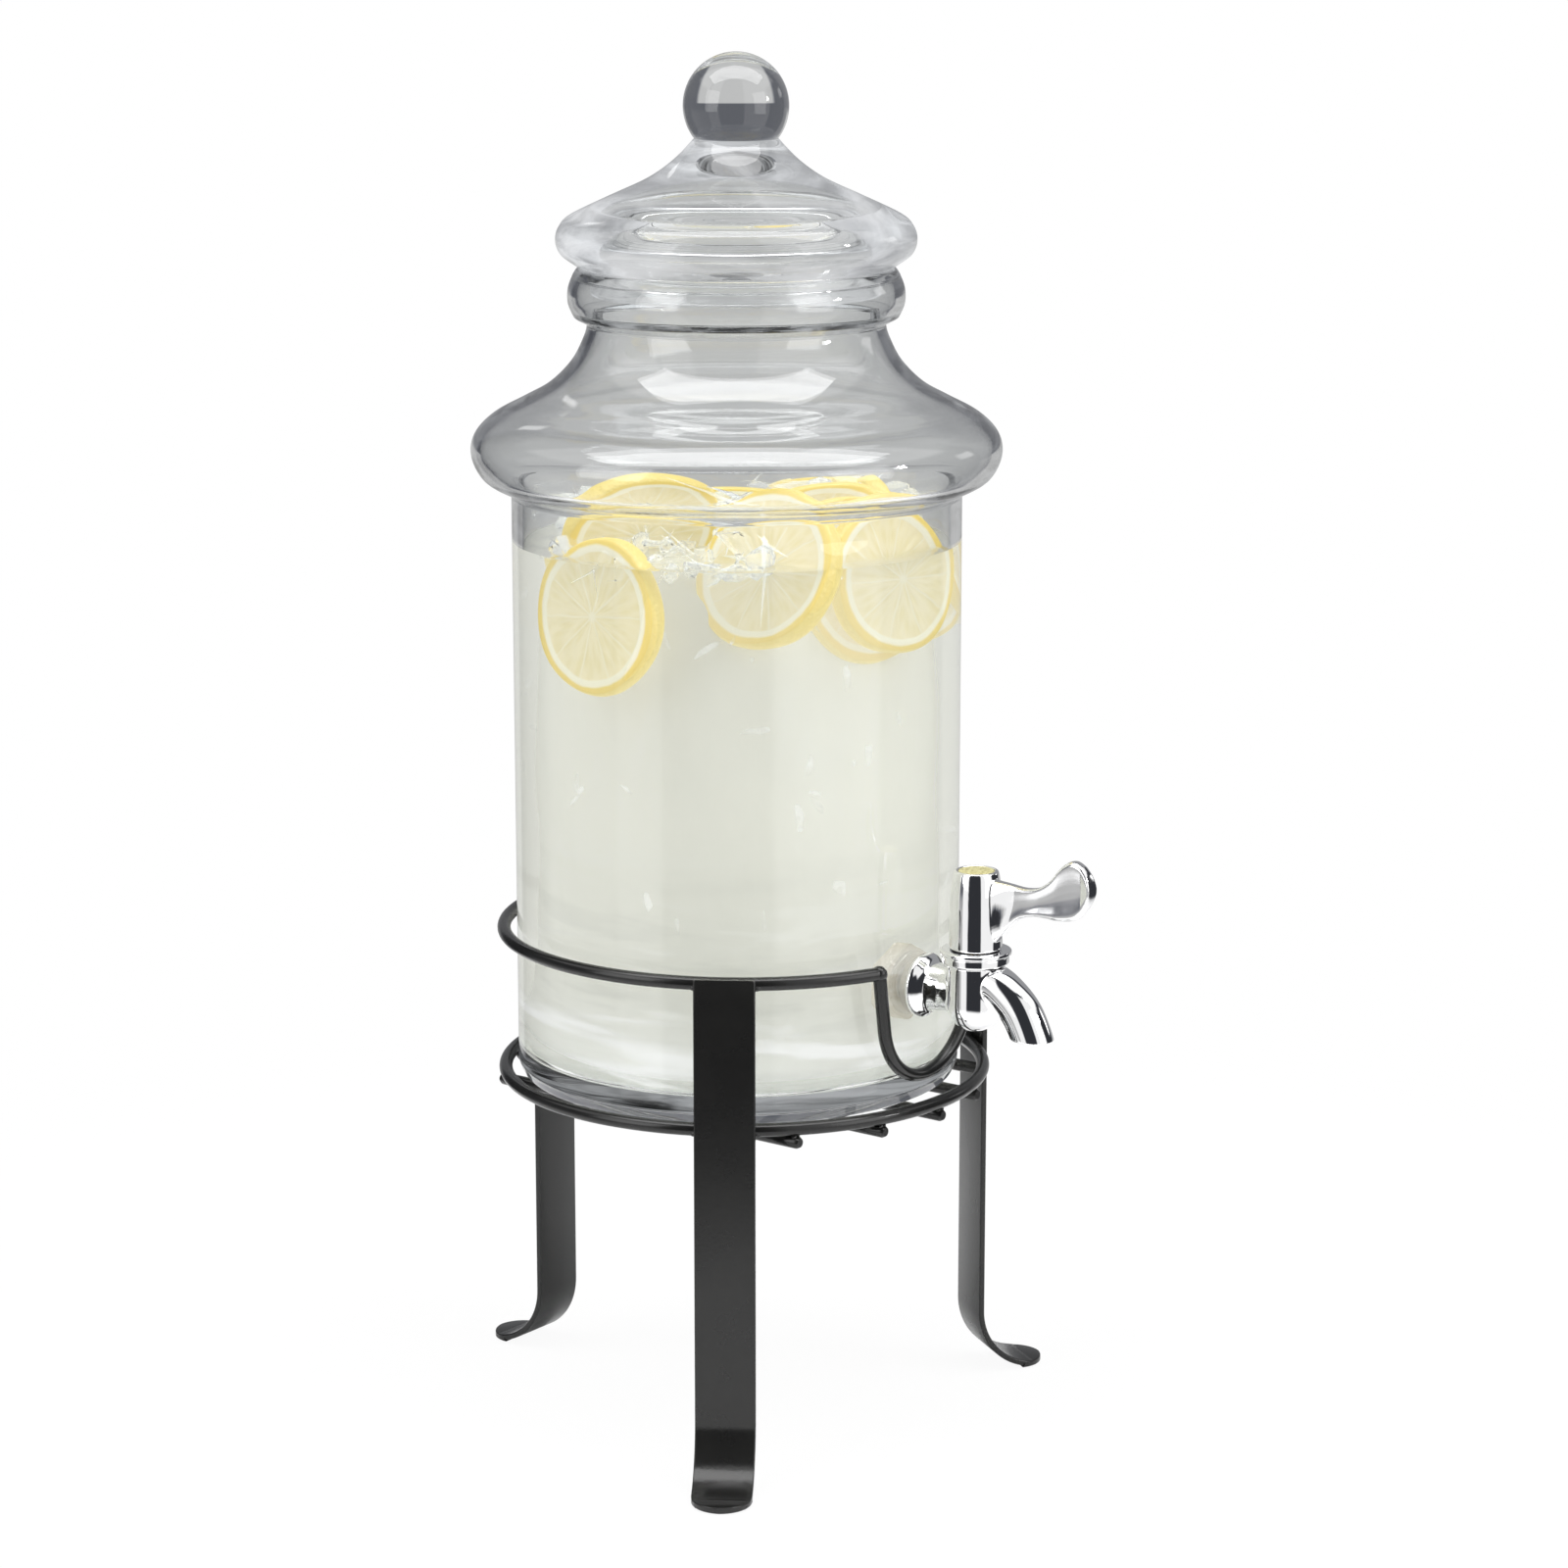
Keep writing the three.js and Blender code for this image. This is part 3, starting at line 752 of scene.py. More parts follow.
def drink():
    side = INNER_R - 0.4
    below = [(0, FLOOR_TOP + 0.8), (50, FLOOR_TOP + 0.5), (79.9, FLOOR_TOP + 0.4), (82.9, 13),
             (84.8, 14.9), (side, 17.2)]
    wall = [(side, 60), (side, 120), (side, 180), (side, LIQUID_TOP - 3), (side, LIQUID_TOP - 0.1)]
    steps = 26
    top = [(side * (1 - k / steps), LIQUID_TOP - 0.3) for k in range(1, steps)] + [(0, LIQUID_TOP - 0.3)]
    top[0] = (top[0][0], LIQUID_TOP + 0.4)
    outline = [Vector(p) for p in (*below, *wall, *top)]
    edge = len(below) + len(wall) - 1
    made = lathe("lemonade", outline, 128, [drink_side(), drink_top()], pick=lambda ring: int(ring >= edge))
    for vertex in made.data.vertices:
        x, y, z = vertex.co / MM
        reach = math.hypot(x, y)
        if z > LIQUID_TOP - 1 and reach < side - 1:
            vertex.co.z += swell(x, y) * min(1, (side - reach) / 12) * MM
    return moved(made, JAR_FOOT)


def core():
    low, high = FLOOR_TOP + 1.4, LIQUID_TOP - 9
    outline = eased([(0, low), (CORE_R + 8, low), (CORE_R + 2, low + 14), (CORE_R, low + 40), (CORE_R, 150),
                     (CORE_R - 2, high - 14), (CORE_R - 12, high), (0, high + 2)], 12, least=8, steps=6)
    finer = []
    for a, b in zip(outline, outline[1:]):
        pieces = max(1, round((b - a).length / 6))
        finer += [a.lerp(b, k / pieces) for k in range(pieces)]
    made = lathe("lemonade_core", finer + [outline[-1]], 96, [drink_core()])
    for vertex in made.data.vertices:
        x, y, z = vertex.co / MM
        push = noise.noise(Vector((x, y, z * 0.6)) / 24) * 2.5 * min(1, max(0, z - 60) / 60)
        reach = math.hypot(x, y) or 1
        vertex.co += Vector((x / reach, y / reach, 0)) * push * MM
    return moved(made, JAR_FOOT)


for made in (drink(), core()):
    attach(made, "jar")

cut_face, rind = lemon_face(), lemon_rind()


def slice_mesh(name, thick, seed):
    """A lemon slice about its own axis, with raised membranes and a rounded rind."""
    sides = 120
    shift = random.Random(seed).random() * 6
    half = thick / 2
    radii = [2, 5, 8, 12, 16, 20, 23.5, FLESH_R, 26.4, PITH_R, 29.3, SLICE_R - 0.7]
    ring_z = [0, 0, 0, 0, 0, 0, 0, 0.1, 0.35, 0.35, 0.25, -0.05]

    def bulk(angle):
        return 1 + 0.018 * math.sin(2 * angle + shift) + 0.01 * math.sin(5 * angle + 2 * shift)

    def height(radius, angle, base):
        if radius > FLESH_R:
            return base
        part = abs((angle * SEGMENTS / (2 * math.pi)) % 1 - 0.5)
        ridge = max(0, 1 - (0.5 - part) * radius * 2 * math.pi / SEGMENTS / 0.9)
        dip = 0.35 * min(1, (radius - 2) / 5) * min(1, (FLESH_R - radius) / 2)
        grain = 0.12 * noise.noise(Vector((radius * 0.5, angle * 9, seed)))
        return base - (dip + grain) * (1 - ridge)

    rim = ((SLICE_R, -half * 0.45), (SLICE_R + 0.25, -half), (SLICE_R, -half * 1.55))
    rows = [(r, half + z, True) for r, z in zip(radii, ring_z)]
    rows += [(r, half + z, False) for r, z in rim]
    rows += [(r, -half - z, True) for r, z in zip(radii[::-1], ring_z[::-1])]
    verts = [Vector((0, 0, half))]
    for r, z, on_face in rows:
        for k in range(sides):
            a = 2 * math.pi * k / sides
            level = math.copysign(1, z) * height(r, a, abs(z)) if on_face else z
            verts.append(Vector((r * bulk(a) * math.cos(a), r * bulk(a) * math.sin(a), level)))
    verts.append(Vector((0, 0, -half)))
    last = len(verts) - 1
    around = [(k, (k + 1) % sides) for k in range(sides)]
    faces = [[0, 1 + k, 1 + n] for k, n in around]
    kinds = [0] * sides
    for i in range(len(rows) - 1):
        low = 1 + i * sides
        high = low + sides
        faces += [[low + k, high + k, high + n, low + n] for k, n in around]
        kinds += [int(not (rows[i][2] and rows[i + 1][2]))] * sides
    faces += [[last, last - sides + n, last - sides + k] for k, n in around]
    kinds += [0] * sides
    return painted(piece(name, verts, faces, [cut_face, rind], sharp=60), kinds)


VIEW_TURN = math.radians(53.2)  # from the tap's side, -Y, to the photo's camera


def from_viewer(angle, reach, height):
    """A place in the jar: angle to the right of the viewer's side, reach, and height above the foot."""
    a = math.radians(angle) - VIEW_TURN
    return JAR_FOOT + Vector((reach * math.sin(a), -reach * math.cos(a), height)) * MM


# name, angle and reach of its centre, height, where its face turns (to the right, up), thickness, scale, roll
SLICES = [
    ("left", -41.5, 76, 198, -46, 6, 7.4, 1.0, 10),
    ("middle", 13, 60, 216, -37, 22, 8.2, 0.98, 40),
    ("right", 57, 68.5, 210, 40, 8, 7.4, 0.95, 75),
    ("back_left", -57, 45, 226, 20, -35, 8.0, 0.98, 120),
    ("back_middle", 75, 38, 213, 8, -8, 7.4, 0.96, 20),
    ("back_right", 92, 54, 206, 8, -8, 7.4, 0.9, 200),
    ("low_right", 53, 56, 207, 40, 8, 7.4, 0.95, 300),
    ("far_left", -176, 60, 198, -176, 12, 7.4, 1.0, 50),
    ("far_right", 150, 68, 206, 152, 4, 7.4, 1.0, 170),
    ("far_side", 105, 67, 214, 96, 25, 7.4, 0.97, 90),
]
for number, (name, angle, reach, height, turn, lift, thick, scale, roll) in enumerate(SLICES):
    made = slice_mesh("lemon_slice_" + name, thick, number + 3)
    heading = math.radians(turn) - VIEW_TURN
    up = math.radians(lift)
    normal = Vector((math.sin(heading) * math.cos(up), -math.cos(heading) * math.cos(up), math.sin(up)))
    spin = Matrix.Rotation(math.radians(roll), 4, "Z")
    facing = normal.to_track_quat("Z", "Y").to_matrix().to_4x4()
    where = Matrix.Translation(from_viewer(angle, reach, height))
    made.matrix_world = where @ facing @ spin @ Matrix.Scale(scale, 4)
    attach(made, "jar")


def shard(draw, size, slim):
    """The corner points of one broken piece of ice."""
    stretch = Vector((draw.uniform(0.6, 1.3), draw.uniform(0.5, 1.0), draw.uniform(0.4, 0.9))) * slim
    stretch.z /= slim ** 3
    made = []
    for _ in range(14):
        way = Vector((draw.gauss(0, 1), draw.gauss(0, 1), draw.gauss(0, 1))).normalized()
        made.append(Vector(way[i] * stretch[i] * size for i in range(3)))
    return made


def shards(name, places, material, seed, bevel, slim=1.0):
    """Many shards as one mesh: the hull of each set of corners, with its edges worn."""
    draw = random.Random(seed)
    whole = bmesh.new()
    for centre, size in places:
        one = bmesh.new()
        for corner in shard(draw, size, slim):
            one.verts.new(corner)
        hull = bmesh.ops.convex_hull(one, input=one.verts)
        unused = hull["geom_interior"] + hull["geom_unused"]
        loose = {v for v in unused if isinstance(v, bmesh.types.BMVert)}
        bmesh.ops.delete(one, geom=list(loose), context="VERTS")
        bmesh.ops.bevel(
            one, geom=list(one.edges), offset=bevel * size, segments=2, affect="EDGES", profile=0.6)
        angle = draw.uniform(0, 6.28)
        spin = Matrix.Rotation(angle, 4, Vector((draw.gauss(0, 1), draw.gauss(0, 1), 1)))
        one.transform(Matrix.Translation(centre) @ spin)
        part = bpy.data.meshes.new("part")
        one.to_mesh(part)
        one.free()
        whole.from_mesh(part)
        bpy.data.meshes.remove(part)
    mesh = bpy.data.meshes.new(name)
    whole.to_mesh(mesh)
    whole.free()
    mesh.transform(Matrix.Scale(MM, 4))
    mesh.materials.append(material)
    mesh.shade_smooth()
    mesh.set_sharp_from_angle(angle=math.radians(24))
    return moved(placed(name, mesh), JAR_FOOT)


def in_jar(angle, reach, height):
    return (from_viewer(angle, reach, height) - JAR_FOOT) / MM


dice = random.Random(11)
floating, sunk = [], []
for _ in range(90):
    reach = 77 * math.sqrt(dice.random())
    size = dice.uniform(3.2, 8.5)
    floating.append((in_jar(dice.uniform(0, 360), reach, LIQUID_TOP + dice.uniform(-3, 4.5)), size))
for angle, reach, height, size in (
    (6, 40, 232, 13), (14, 48, 230, 12), (20, 36, 231, 14), (1, 52, 226, 9),
    (-40, 76, 221, 6), (-33, 78, 218, 5), (-12, 78, 220, 6), (-5, 79, 217, 5),
    (172, 62, 227, 10), (160, 60, 229, 12), (148, 64, 228, 11), (136, 66, 229, 12),
    (127, 70, 227, 11), (118, 73, 225, 9), (142, 54, 231, 9),
):
    floating.append((in_jar(angle, reach, height), size))
for _ in range(70):
    height = LIQUID_TOP - 12 - 130 * dice.random() ** 1.4
    sunk.append((in_jar(dice.uniform(0, 360), dice.uniform(66, 77), height), dice.uniform(1.5, 3.6)))
for made in (
    shards("ice_floating", floating, clear_ice(), 5, 0.12),
    shards("ice_sunk", sunk, sunk_ice(), 6, 0.04, 0.62),
):
    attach(made, "jar")

# ---- tap

# the middle of the spout's bore as (forward, height)
SPOUT_LINE = [(0, 5.5), (8.7, 5.3), (15.5, 1.6), (22.1, -4.7), (27, -14), (28.6, -20)]
ALONG_Y = Matrix.Rotation(-math.pi / 2, 4, "X")
CHAMBER_R = 11.3
LEVER_TIP = 54.4


def route(points):
    return [Vector((0, -p.x, p.y)) for p in smooth(points, 10)]


def tap_body():
    top = 12.3
    round_end = arc(0, -3.6, CHAMBER_R, -88, 0, 20)
    outside = [(0, -3.6 - CHAMBER_R), *round_end, (CHAMBER_R, top), (0, top)]
    chamber = lathe("tap_body_cast", outside, 96, [chrome])
    trumpet = smooth([(8.8, 13), (9.6, 18.8), (11.4, 21.4), (12.6, 22.8)], 6)
    flange = [(13, 23.4), (13, 25), (7.8, 25), (7.8, 46.5), (0, 46.5)]
    shank = lathe("shank", [(0, 2), (8.8, 2), *trumpet, *flange], 96, [chrome], turn=ALONG_Y)
    spout = tube("spout", route(SPOUT_LINE), 8.2, 64, [chrome])
    united(chamber, [shank, spout])
    below = lathe("below", [(0, -44), (40, -44), (40, -14.2), (0, -14.2)], 32, [chrome])
    moved(below, Vector((0, -0.052, 0)))
    above = lathe("above", [(0, top), (40, top), (40, 40), (0, 40)], 32, [chrome])
    well = lathe("well", [(0, -9.2), (8.8, -9.2), (8.8, 13), (0, 13)], 64, [chrome])
    bore = tube("bore", route([*SPOUT_LINE[1:], (29, -26)]), 6, 48, [chrome])
    inlet = lathe("inlet", [(0, 0), (4.8, 0), (4.8, 48), (0, 48)], 48, [chrome], turn=ALONG_Y)
    united(chamber, [below, above, well, bore, inlet], "DIFFERENCE")
    return moved(cast(chamber, 0.32, 16), SPINDLE)


def lever_sections():
    """The upper and lower edge of the lever as (forward, z), from the barrel to the tip."""
    upper = smooth([(5, 47.6), (9, 47.3), (16, 46.8), (23.5, 46.2), (30, 47.4), (35.5, 51.2), (39.7, 56.4),
                    (43.4, 59.3), (46.6, 59.9), (49.8, 58.3)], 6)
    lower = smooth([(5, 20.5), (9, 21.6), (13.5, 26), (19.6, 32.6), (26.9, 35.2), (33, 35.5), (38.4, 35.2),
                    (43.6, 35.7), (47.2, 37.0), (49.9, 39.6)], 6)
    tip_upper = smooth([(49.8, 58.3), (52.2, 55.2), (53.6, 51.6), (54, 48.8)], 3)[1:]
    tip_lower = smooth([(49.9, 39.6), (52.2, 42.9), (53.6, 46.2), (54, 48.7)], 3)[1:]
    return list(zip(upper + tip_upper, lower + tip_lower))


def paddle():
    pairs = lever_sections()
    count = len(pairs)
    sections = []
    for i, (high, low) in enumerate(pairs):
        s = i / (count - 1)
        forward = (high.x + low.x) / 2
        half = 3.2 + 2.2 * max(0, 1 - (forward - 5) / 14) ** 1.5
        if forward > 30:
            half += 0.5 * min(1, (forward - 30) / 12)
        dish = 0.6 * max(0, min(1, (forward - 24) / 14)) * max(0, min(1, (LEVER_TIP - forward) / 5))
        dish += 1.2 * max(0, min(1, (forward - 10) / 8)) * max(0, min(1, (LEVER_TIP - forward) / 5))
        if s > 0.93:
            half *= max(0.3, math.sqrt(max(0, 1 - ((s - 0.93) / 0.075) ** 2)))
        section = []
        for k in range(40):
            a = 2 * math.pi * k / 40
            across, aside = math.cos(a), math.sin(a)
            t = math.copysign(abs(across) ** 0.75, across)
            body = math.copysign(abs(aside) ** 0.6, aside) * half
            hollow = dish * (1 - min(1, abs(t) / 0.86) ** 2.2) * math.copysign(1, aside)
            if abs(aside) <= 1e-6:
                hollow = 0
            p = (high + low) / 2 + (high - low) / 2 * t
            section.append(Vector((body - hollow, -p.x, p.y)))
        sections.append(section)
    return piece("lever", *loft_data(sections), [chrome], sharp=0)


def tap_handle():
    skirt = [(0, 18.7), (10.1, 18.7), (10.5, 19.3), (10.5, 24), (10.4, 30)]
    crown = smooth([(10.3, 36), (10, 41), (9.5, 45.5), (9.1, 48.2), (8.6, 49.7), (7.7, 50.1)], 4)
    recess = [(7.35, 49.9), (7.35, 47.9), (0, 47.9)]
    barrel = lathe("tap_handle_cast", [*skirt, *crown, *recess], 96, [worn_chrome])
    united(barrel, [paddle()])
    hollow = lathe("hollow", [
        (0, 18), (8.2, 18), (8.2, 22), (4.4, 22), (4.4, 38.8), (2.4, 38.8), (2.4, 44.9),
        (4.6, 44.9), (4.6, 47.9), (7.35, 47.9), (7.35, 52), (0, 52),
    ], 64, [chrome])
    united(barrel, [hollow], "DIFFERENCE")
    return moved(cast(barrel, 0.28, 6), SPINDLE)


def collar():
    outline = [(4.6, 12.6), (12.6, 12.6), (13.2, 13.3), (13.2, 15.8), (12.8, 16.2), (13.1, 16.45),
               (14.1, 16.6), (14.2, 17.9), (13.7, 18.4), (4.6, 18.4)]
    loop = eased(outline + outline[:2], 0.35)[1:-1]
    return moved(lathe("bonnet_collar_ring", loop, 128, [chrome], closed=True), SPINDLE)


def top_disc():
    edge = [(0, 48.2), (7.05, 48.2), (7.05, 49.6), (6.7, 50.0)]
    domed = smooth([(6.4, 49.9), (5.8, 49.8), (3.6, 50.1), (0, 50.2)], 6)
    return moved(lathe("cap_disc_speckled", eased([*edge, *domed], 0.3), 96, [speckled_disc()]), SPINDLE)


for make, body, slot, node in (
    (tap_body, "jar", "chrome", "tap_body"),
    (collar, "jar", "chrome", "bonnet_collar"),
    (tap_handle, "tap_handle", "chrome", "tap_handle"),
    (top_disc, "tap_handle", "yellow_disc", "cap_disc"),
):
    made = make()
    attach(made, body)
    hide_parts(node)

for node, material in {
    "outer_washer": rubber_clear, "inner_washer": rubber_sunk, "lock_nut": nut_plastic,
    "valve_plug": valve_plastic, "seal_lower": rubber_black, "seal_upper": rubber_black,
    "valve_stem": brass, "handle_screw": steel,
}.items():
    for entry in frame["nodes"][node].material_slots:
        entry.material = material

# ---- stand

WIRE_R = 2.7
HOOP_R = 97.8
UPPER_Z = 202.7
LOWER_Z = 144.1
LOOP_HALF = 33.6
LEG_ANGLES = {"leg_back": 180, "leg_front_left": -57, "leg_front_right": 57}
STAND_OFFSET = (JAR_FOOT.y - STAND_AXIS.y) / MM


def on_circle(radius, angle, z):
    return Vector((radius * math.sin(angle), -radius * math.cos(angle), z))


def upper_hoop():
    end = math.asin(LOOP_HALF / HOOP_R)
    sweep, steps = 2 * math.pi - 2 * end, 150
    path = [on_circle(HOOP_R, end + sweep * k / steps, UPPER_Z) for k in range(steps + 1)]
    return tube("upper_hoop_wire", path, WIRE_R, 22, [coat], round_ends=True)


def lower_hoop():
    path = [on_circle(HOOP_R, 2 * math.pi * k / 160, LOWER_Z) for k in range(160)]
    return tube("lower_hoop_wire", path, WIRE_R, 22, [coat], cyclic=True)


def tap_loop():
    bottom, bend, lean = 154.7, 29.4, 10
    low_reach, high_reach = 93.3, 95.1
    curve = arc(0, bottom + bend, bend, 180 + lean, 360 - lean, 40)
    left, right = Vector((-LOOP_HALF, UPPER_Z)), Vector((LOOP_HALF, UPPER_Z))
    flat = [left.lerp(curve[0], k / 8) for k in range(8)] + curve
    flat += [curve[-1].lerp(right, k / 8) for k in range(1, 9)]
    path = []
    for p in flat:
        reach = low_reach + (high_reach - low_reach) * (p.y - bottom) / (UPPER_Z + WIRE_R - bottom)
        path.append(Vector((p.x, STAND_OFFSET - reach, p.y)))
    return tube("tap_loop_wire", path, WIRE_R, 22, [coat], round_ends=True)


def leg(name, angle):
    """A rolled strip with rounded edges: down, round the bend, and out to a round tip."""
    width, thick, bend, reach, tip_r, corner = 24.0, 2.4, 26.0, 133.4, 12, 0.55
    middle_r = HOOP_R + WIRE_R + 0.3 + thick / 2
    top = UPPER_Z + WIRE_R
    heights = (top - 0.01, top - 0.6, 190, 170, 145, 120, 95, 70, 50, 36)
    path = [Vector((middle_r, z)) for z in heights]
    path += arc(middle_r + bend, bend + thick / 2, bend, 180, 270, 22)
    last, tip_from = path[-1].x, reach - tip_r
    tip = [tip_from - (tip_from - last) * k / 3 for k in (2, 1, 0)]
    tip += [tip_from + tip_r * math.sin(math.pi / 2 * k / 14) for k in range(1, 15)]
    path += [Vector((x, thick / 2)) for x in tip]
    sections = []
    for i, p in enumerate(path):
        along = (path[min(i + 1, len(path) - 1)] - path[max(i - 1, 0)]).normalized()
        across = Vector((-along.y, along.x))
        half, depth = width / 2, thick / 2
        if p.y <= thick and p.x > tip_from:
            half = max(0.4, math.sqrt(max(0, tip_r ** 2 - (p.x - tip_from) ** 2)))
        if i == 0:
            half, depth = half - 0.5, depth - 0.4
        r = min(corner, half * 0.9)
        section = []
        for quarter, (w_side, t_side) in enumerate(((1, 1), (-1, 1), (-1, -1), (1, -1))):
            for k in range(5):
                a = math.radians(90 * quarter + 90 * k / 4)
                q = p + across * (t_side * (depth - r) + r * math.sin(a))
                section.append(Vector((q.x, w_side * (half - r) + r * math.cos(a), q.y)))
        sections.append(section)
    made = outward(piece(name + "_strip", *loft_data(sections), [coat], sharp=50))
    made.data.transform(Matrix.Rotation(math.radians(angle - 90), 4, "Z"))
    return made


def rod(number):
    low, high = (Vector(c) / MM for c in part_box(f"base_rod_{number}"))
    x, z = (low.x + high.x) / 2, (low.z + high.z) / 2
    radius = (high.z - low.z) / 2
    length, steps = high.y - low.y - radius, 14
    path = [Vector((x, low.y + radius * 0.5 + length * k / steps, z)) for k in range(steps + 1)]
    bevel = Vector((0, radius * 0.5, 0))
    path = [path[0] - bevel, *path, path[-1] + bevel]
    sections = []
    for i, p in enumerate(path):
        r = radius * (0.72 if i in (0, len(path) - 1) else 1)
        angles = [2 * math.pi * k / 20 for k in range(20)]
        sections.append([p + Vector((r * math.cos(a), 0, r * math.sin(a))) for a in angles])
    return outward(piece(f"base_rod_{number}_bar", *loft_data(sections), [coat], sharp=50))


def bead(centre, along, size, seed):
    """One weld bead, long in the direction of its seam."""
    bm = bmesh.new()
    bmesh.ops.create_icosphere(bm, subdivisions=3, radius=1.0)
    side = along.orthogonal().normalized()
    other = along.cross(side)
    for v in bm.verts:
        lump = 1 + 0.12 * noise.noise(v.co * 2.2 + Vector((seed, 0, 0)))
        stretched = along * v.co.x * size[0] + side * v.co.y * size[1] + other * v.co.z * size[1]
        v.co = centre + stretched * lump
    mesh = bpy.data.meshes.new("bead")
    bm.to_mesh(mesh)
    bm.free()
    mesh.transform(Matrix.Scale(MM, 4))
    mesh.materials.append(coat)
    return placed("bead", mesh)


def weld_beads():
    made = []
    for angle in LEG_ANGLES.values():
        a = math.radians(angle)
        for z in (UPPER_Z, LOWER_Z):
            for side in (-1, 1):
                b = a + side * 11.4 / HOOP_R
                seam = Vector((math.cos(b), math.sin(b), 0))
                made.append(bead(on_circle(HOOP_R + 1.6, b, z - 1.4), seam, (2.4, 1.3), len(made)))
    for number in range(1, 6):
        low, high = (Vector(c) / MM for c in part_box(f"base_rod_{number}"))
        x = (low.x + high.x) / 2
        reach = math.sqrt(HOOP_R ** 2 - x ** 2)
        for side in (-1, 1):
            crossing = Vector((x, side * reach, LOWER_Z - WIRE_R - 0.6))
            made.append(bead(crossing, Vector((1, 0, 0)), (2.2, 1.0), len(made)))
    for side in (-1, 1):
        corner = Vector((side * LOOP_HALF, STAND_OFFSET - 95.1, UPPER_Z))
        made.append(bead(corner, Vector((0, 0, 1)), (3.1, 3.1), len(made)))
    return joined("weld_beads", made)


stand_parts = {"upper_hoop": upper_hoop(), "lower_hoop": lower_hoop(), "tap_loop": tap_loop()}
stand_parts.update({name: leg(name, angle) for name, angle in LEG_ANGLES.items()})
for made in stand_parts.values():
    moved(made, STAND_AXIS)
stand_parts.update({f"base_rod_{number}": rod(number) for number in range(1, 6)})
for node, made in stand_parts.items():
    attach(made, "stand")
    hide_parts(node)
welds = moved(weld_beads(), STAND_AXIS)
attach(welds, "stand")

# ---- floor, light and camera

# away from the photo's camera, and to its right
FORWARD = Vector((0.8007, 0.599, 0))
RIGHT = Vector((0.599, -0.8007, 0))


def floor_disc():
    material = new_material("pale_floor")
    axes = add("SeparateXYZ", {0: place()}).outputs
    reach = calc("SQRT", plus(times(axes["X"], axes["X"]), times(axes["Y"], axes["Y"])))
    solid = out("BsdfPrincipled", {
        "Base Color": (0.93, 0.93, 0.93), "Roughness": 0.8, "Specular IOR Level": 0.1,
    })
    seen = times(add("LightPath").outputs["Is Camera Ray"], 0.94)
    even = over(seen, solid, glow((1, 1, 1)))
    finished(material, over(spread(reach, 0.3, 0.62), even, see_through()))
    made = lathe("floor", [(640, -0.6), (300, -0.6), (0, -0.6)], 96, [material])


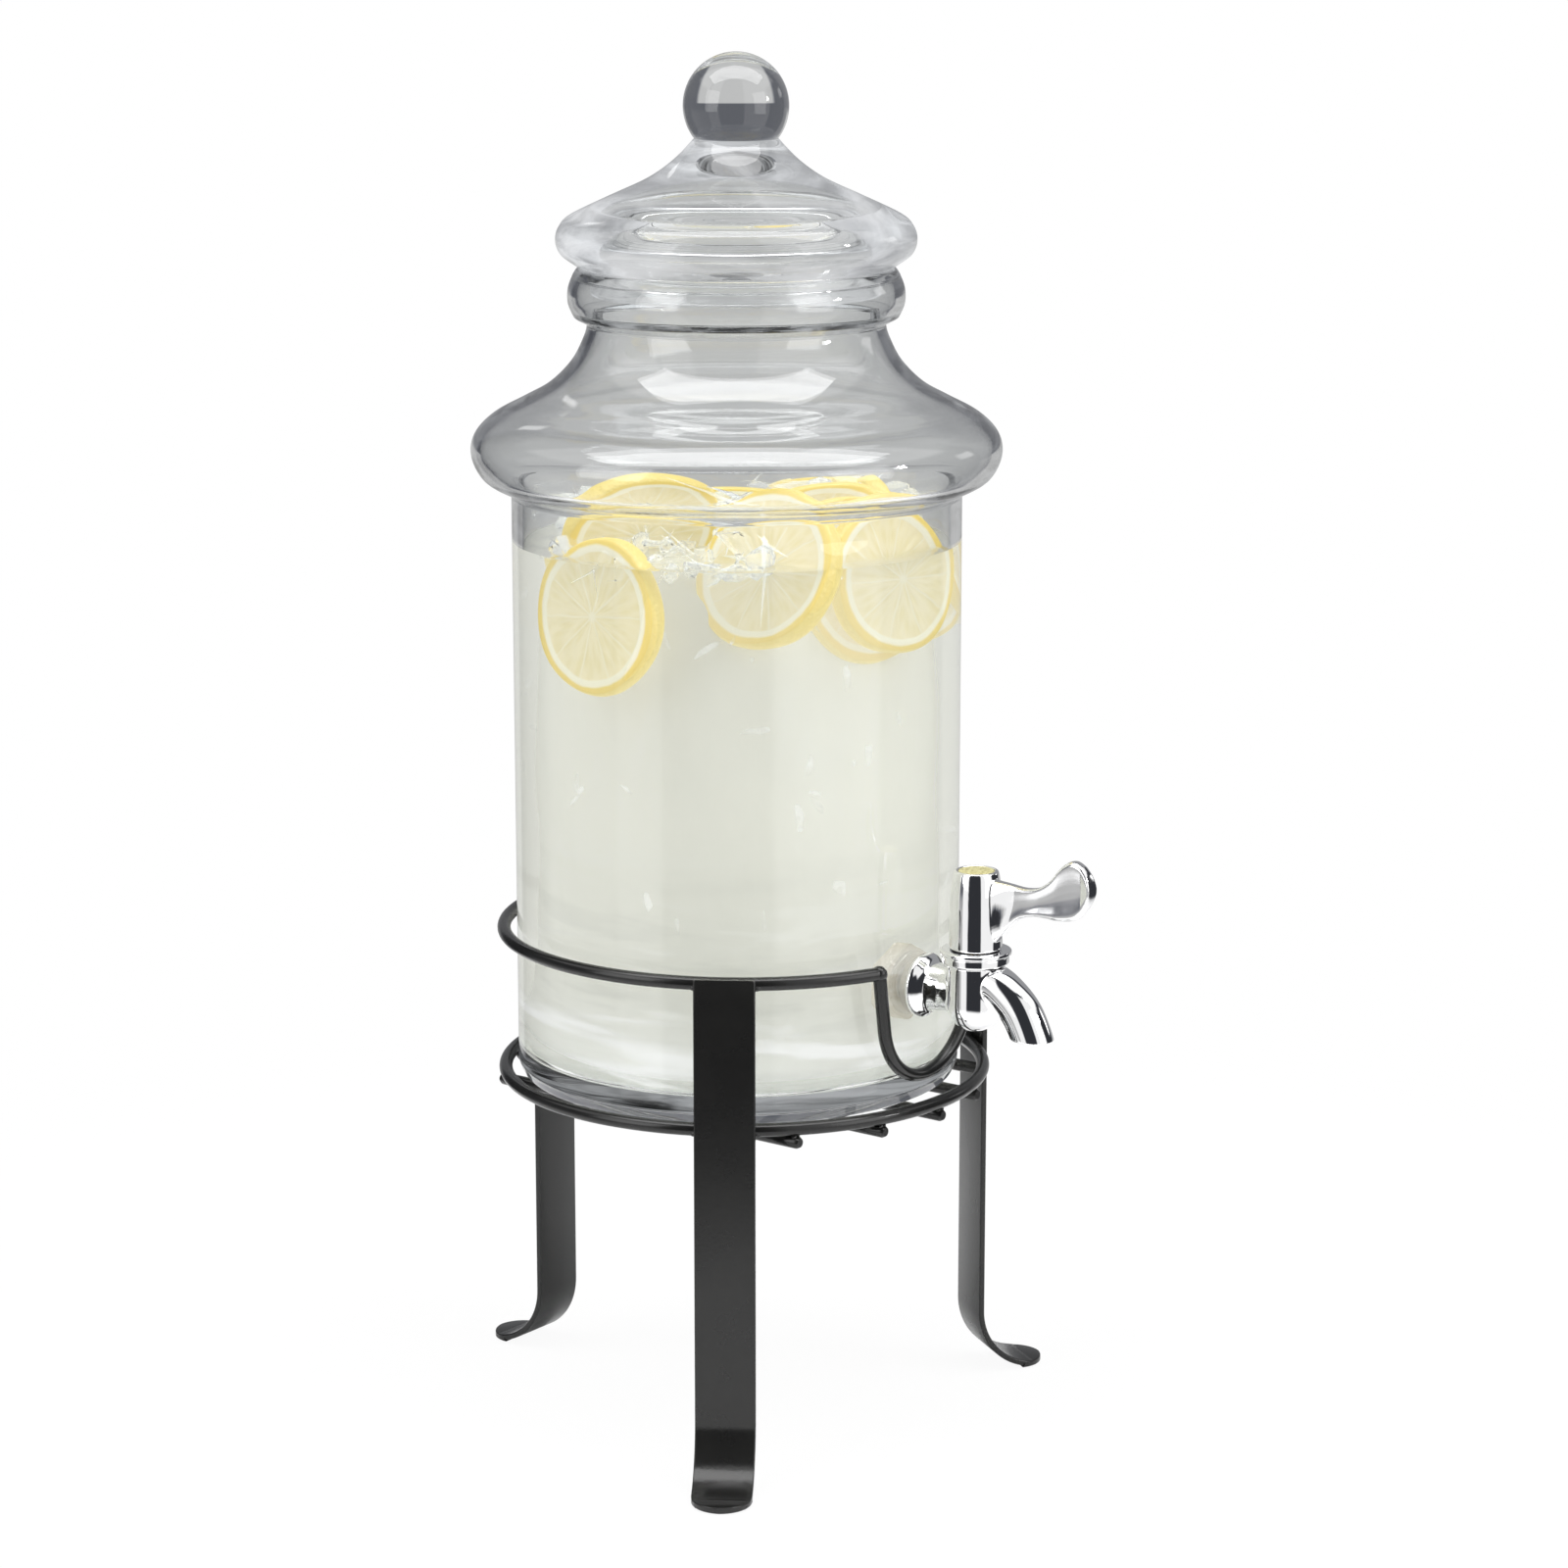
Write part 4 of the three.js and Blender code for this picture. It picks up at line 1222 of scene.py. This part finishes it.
def studio():
    """A pale studio: soft boxes left, right and overhead, dark between them, and a grey sweep behind."""
    bpy.context.scene.world = blank(bpy.data.worlds.new("studio"))
    way = add("TexCoord").outputs["Generated"]

    def along(line):
        node = add("VectorMath", {0: way, 1: tuple(line)}, operation="DOT_PRODUCT")
        return node.outputs["Value"]

    ahead, right, up = along(FORWARD), along(RIGHT), along((0, 0, 1))
    azimuth = times(calc("ARCTAN2", right, times(ahead, -1.0)), 180 / math.pi)
    elevation = times(calc("ARCSINE", up), 180 / math.pi)

    def band(value, low, high, edge):
        rise = spread(value, low - edge, low + edge)
        fall = spread(value, high - edge, high + edge, 1.0, 0.0)
        return times(rise, fall)

    def panel(az, el, strength, edge):
        shape = times(band(azimuth, *az, edge), band(elevation, *el, edge))
        return times(shape, strength)

    behind = calc("MAXIMUM", spread(azimuth, 126, 134), spread(azimuth, -154, -146, 1.0, 0.0))
    sweep = spread(elevation, -5, -3.4, 0.55, 0.34)
    front = spread(elevation, -84, -52, 0.75, 0.04)

    def mixed(share, low, high):
        return out("Mix", {0: share, 2: low, 3: high}, data_type="FLOAT")

    mirrored = mixed(behind, front, sweep)
    # each panel: azimuth and elevation in degrees, strength, softness of its edge
    for az, el, strength, edge in (
        ((-64, -38), (-70, 56), 1.0, 3.0),
        ((-116, -60), (-70, -5), 0.52, 8.0),
        ((-122, -56), (-70, 30), 0.15, 8.0),
        ((19, 78), (-70, 56), 1.0, 3.0),
        ((-118, -68), (30, 72), 1.2, 4.0),
        ((66, 118), (30, 72), 1.2, 4.0),
        ((-100, 100), (62, 91), 1.4, 3.0),
        ((-157, -152), (27, 34), 2.2, 1.5),
        ((113, 125), (8, 18), 2.0, 2.0),
    ):
        mirrored = calc("MAXIMUM", mirrored, panel(az, el, strength, edge))
    path = add("LightPath")
    solid = calc("LESS_THAN", path.outputs["Transmission Depth"], 2.5)
    span = calc("ABSOLUTE", azimuth, 0.0)
    table = times(spread(elevation, -5, -3.8, 1.0, 0.0), spread(span, 143, 149))
    dark = plus(spread(elevation, 26, 38, 0.13, 0.4), times(table, 0.42))
    thin = spread(elevation, -5, 2, 0.53, 0.42)
    solid = times(solid, spread(span, 92, 108))
    refracted = mixed(solid, thin, dark)
    for az, el, strength in (
        ((-112, -50), (6, 60), 0.7), ((28, 70), (4, 60), 0.7), ((-90, 90), (64, 91), 1.2),
    ):
        refracted = calc("MAXIMUM", refracted, panel(az, el, strength, 4.0))
    level = mixed(path.outputs["Is Transmission Ray"], mirrored, refracted)
    hue = blend_colour(spread(level, 0.05, 0.5), (0.82, 0.86, 1.0), (1.0, 1.0, 1.0))
    lit = out("Background", {"Color": hue, "Strength": level})
    white = out("Background", {"Color": (1, 1, 1), "Strength": 1.0})
    seen = add("LightPath").outputs["Is Camera Ray"]
    add("OutputWorld", {"Surface": over(seen, lit, white)})


def soft_box(name, towards_eye, aside, height, size, power):
    """A lamp aimed at the middle of the jar, placed as the camera sees it."""
    lamp = bpy.data.lights.new(name, "AREA")
    lamp.shape = "RECTANGLE"
    lamp.size, lamp.size_y = size
    lamp.energy = power
    made = placed(name, lamp)
    made.location = RIGHT * aside - FORWARD * towards_eye + Vector((0, 0, height))
    target = Vector((0, 0, 0.28))
    made.rotation_euler = (target - made.location).to_track_quat("-Z", "Y").to_euler()
    made.visible_camera = False


floor_disc()
studio()
soft_box("overhead", 0.25, 0, 1.9, (2.7, 0.9), 30)
soft_box("left_box", 0.9, -1.3, 0.78, (0.9, 1.2), 7)
soft_box("right_box", 0.9, 1.3, 0.68, (0.8, 1.2), 6)
soft_box("right_spark", 0.35, 1.3, 0.83, (0.1, 0.16), 2.5)

# the photo's camera, as fitted to the hoops and the silhouette
eye = bpy.data.cameras.new("eye")
eye.lens = 96.66
eye.sensor_width = 36
eye.clip_start = 0.05
eye.clip_end = 50
camera = placed("eye", eye)
camera.location = (-1.3255, -0.9947, 0.6199)
camera.rotation_euler = (math.radians(77.84), 0, -VIEW_TURN)
bpy.context.scene.camera = camera
bpy.context.scene.view_settings.view_transform = "Standard"
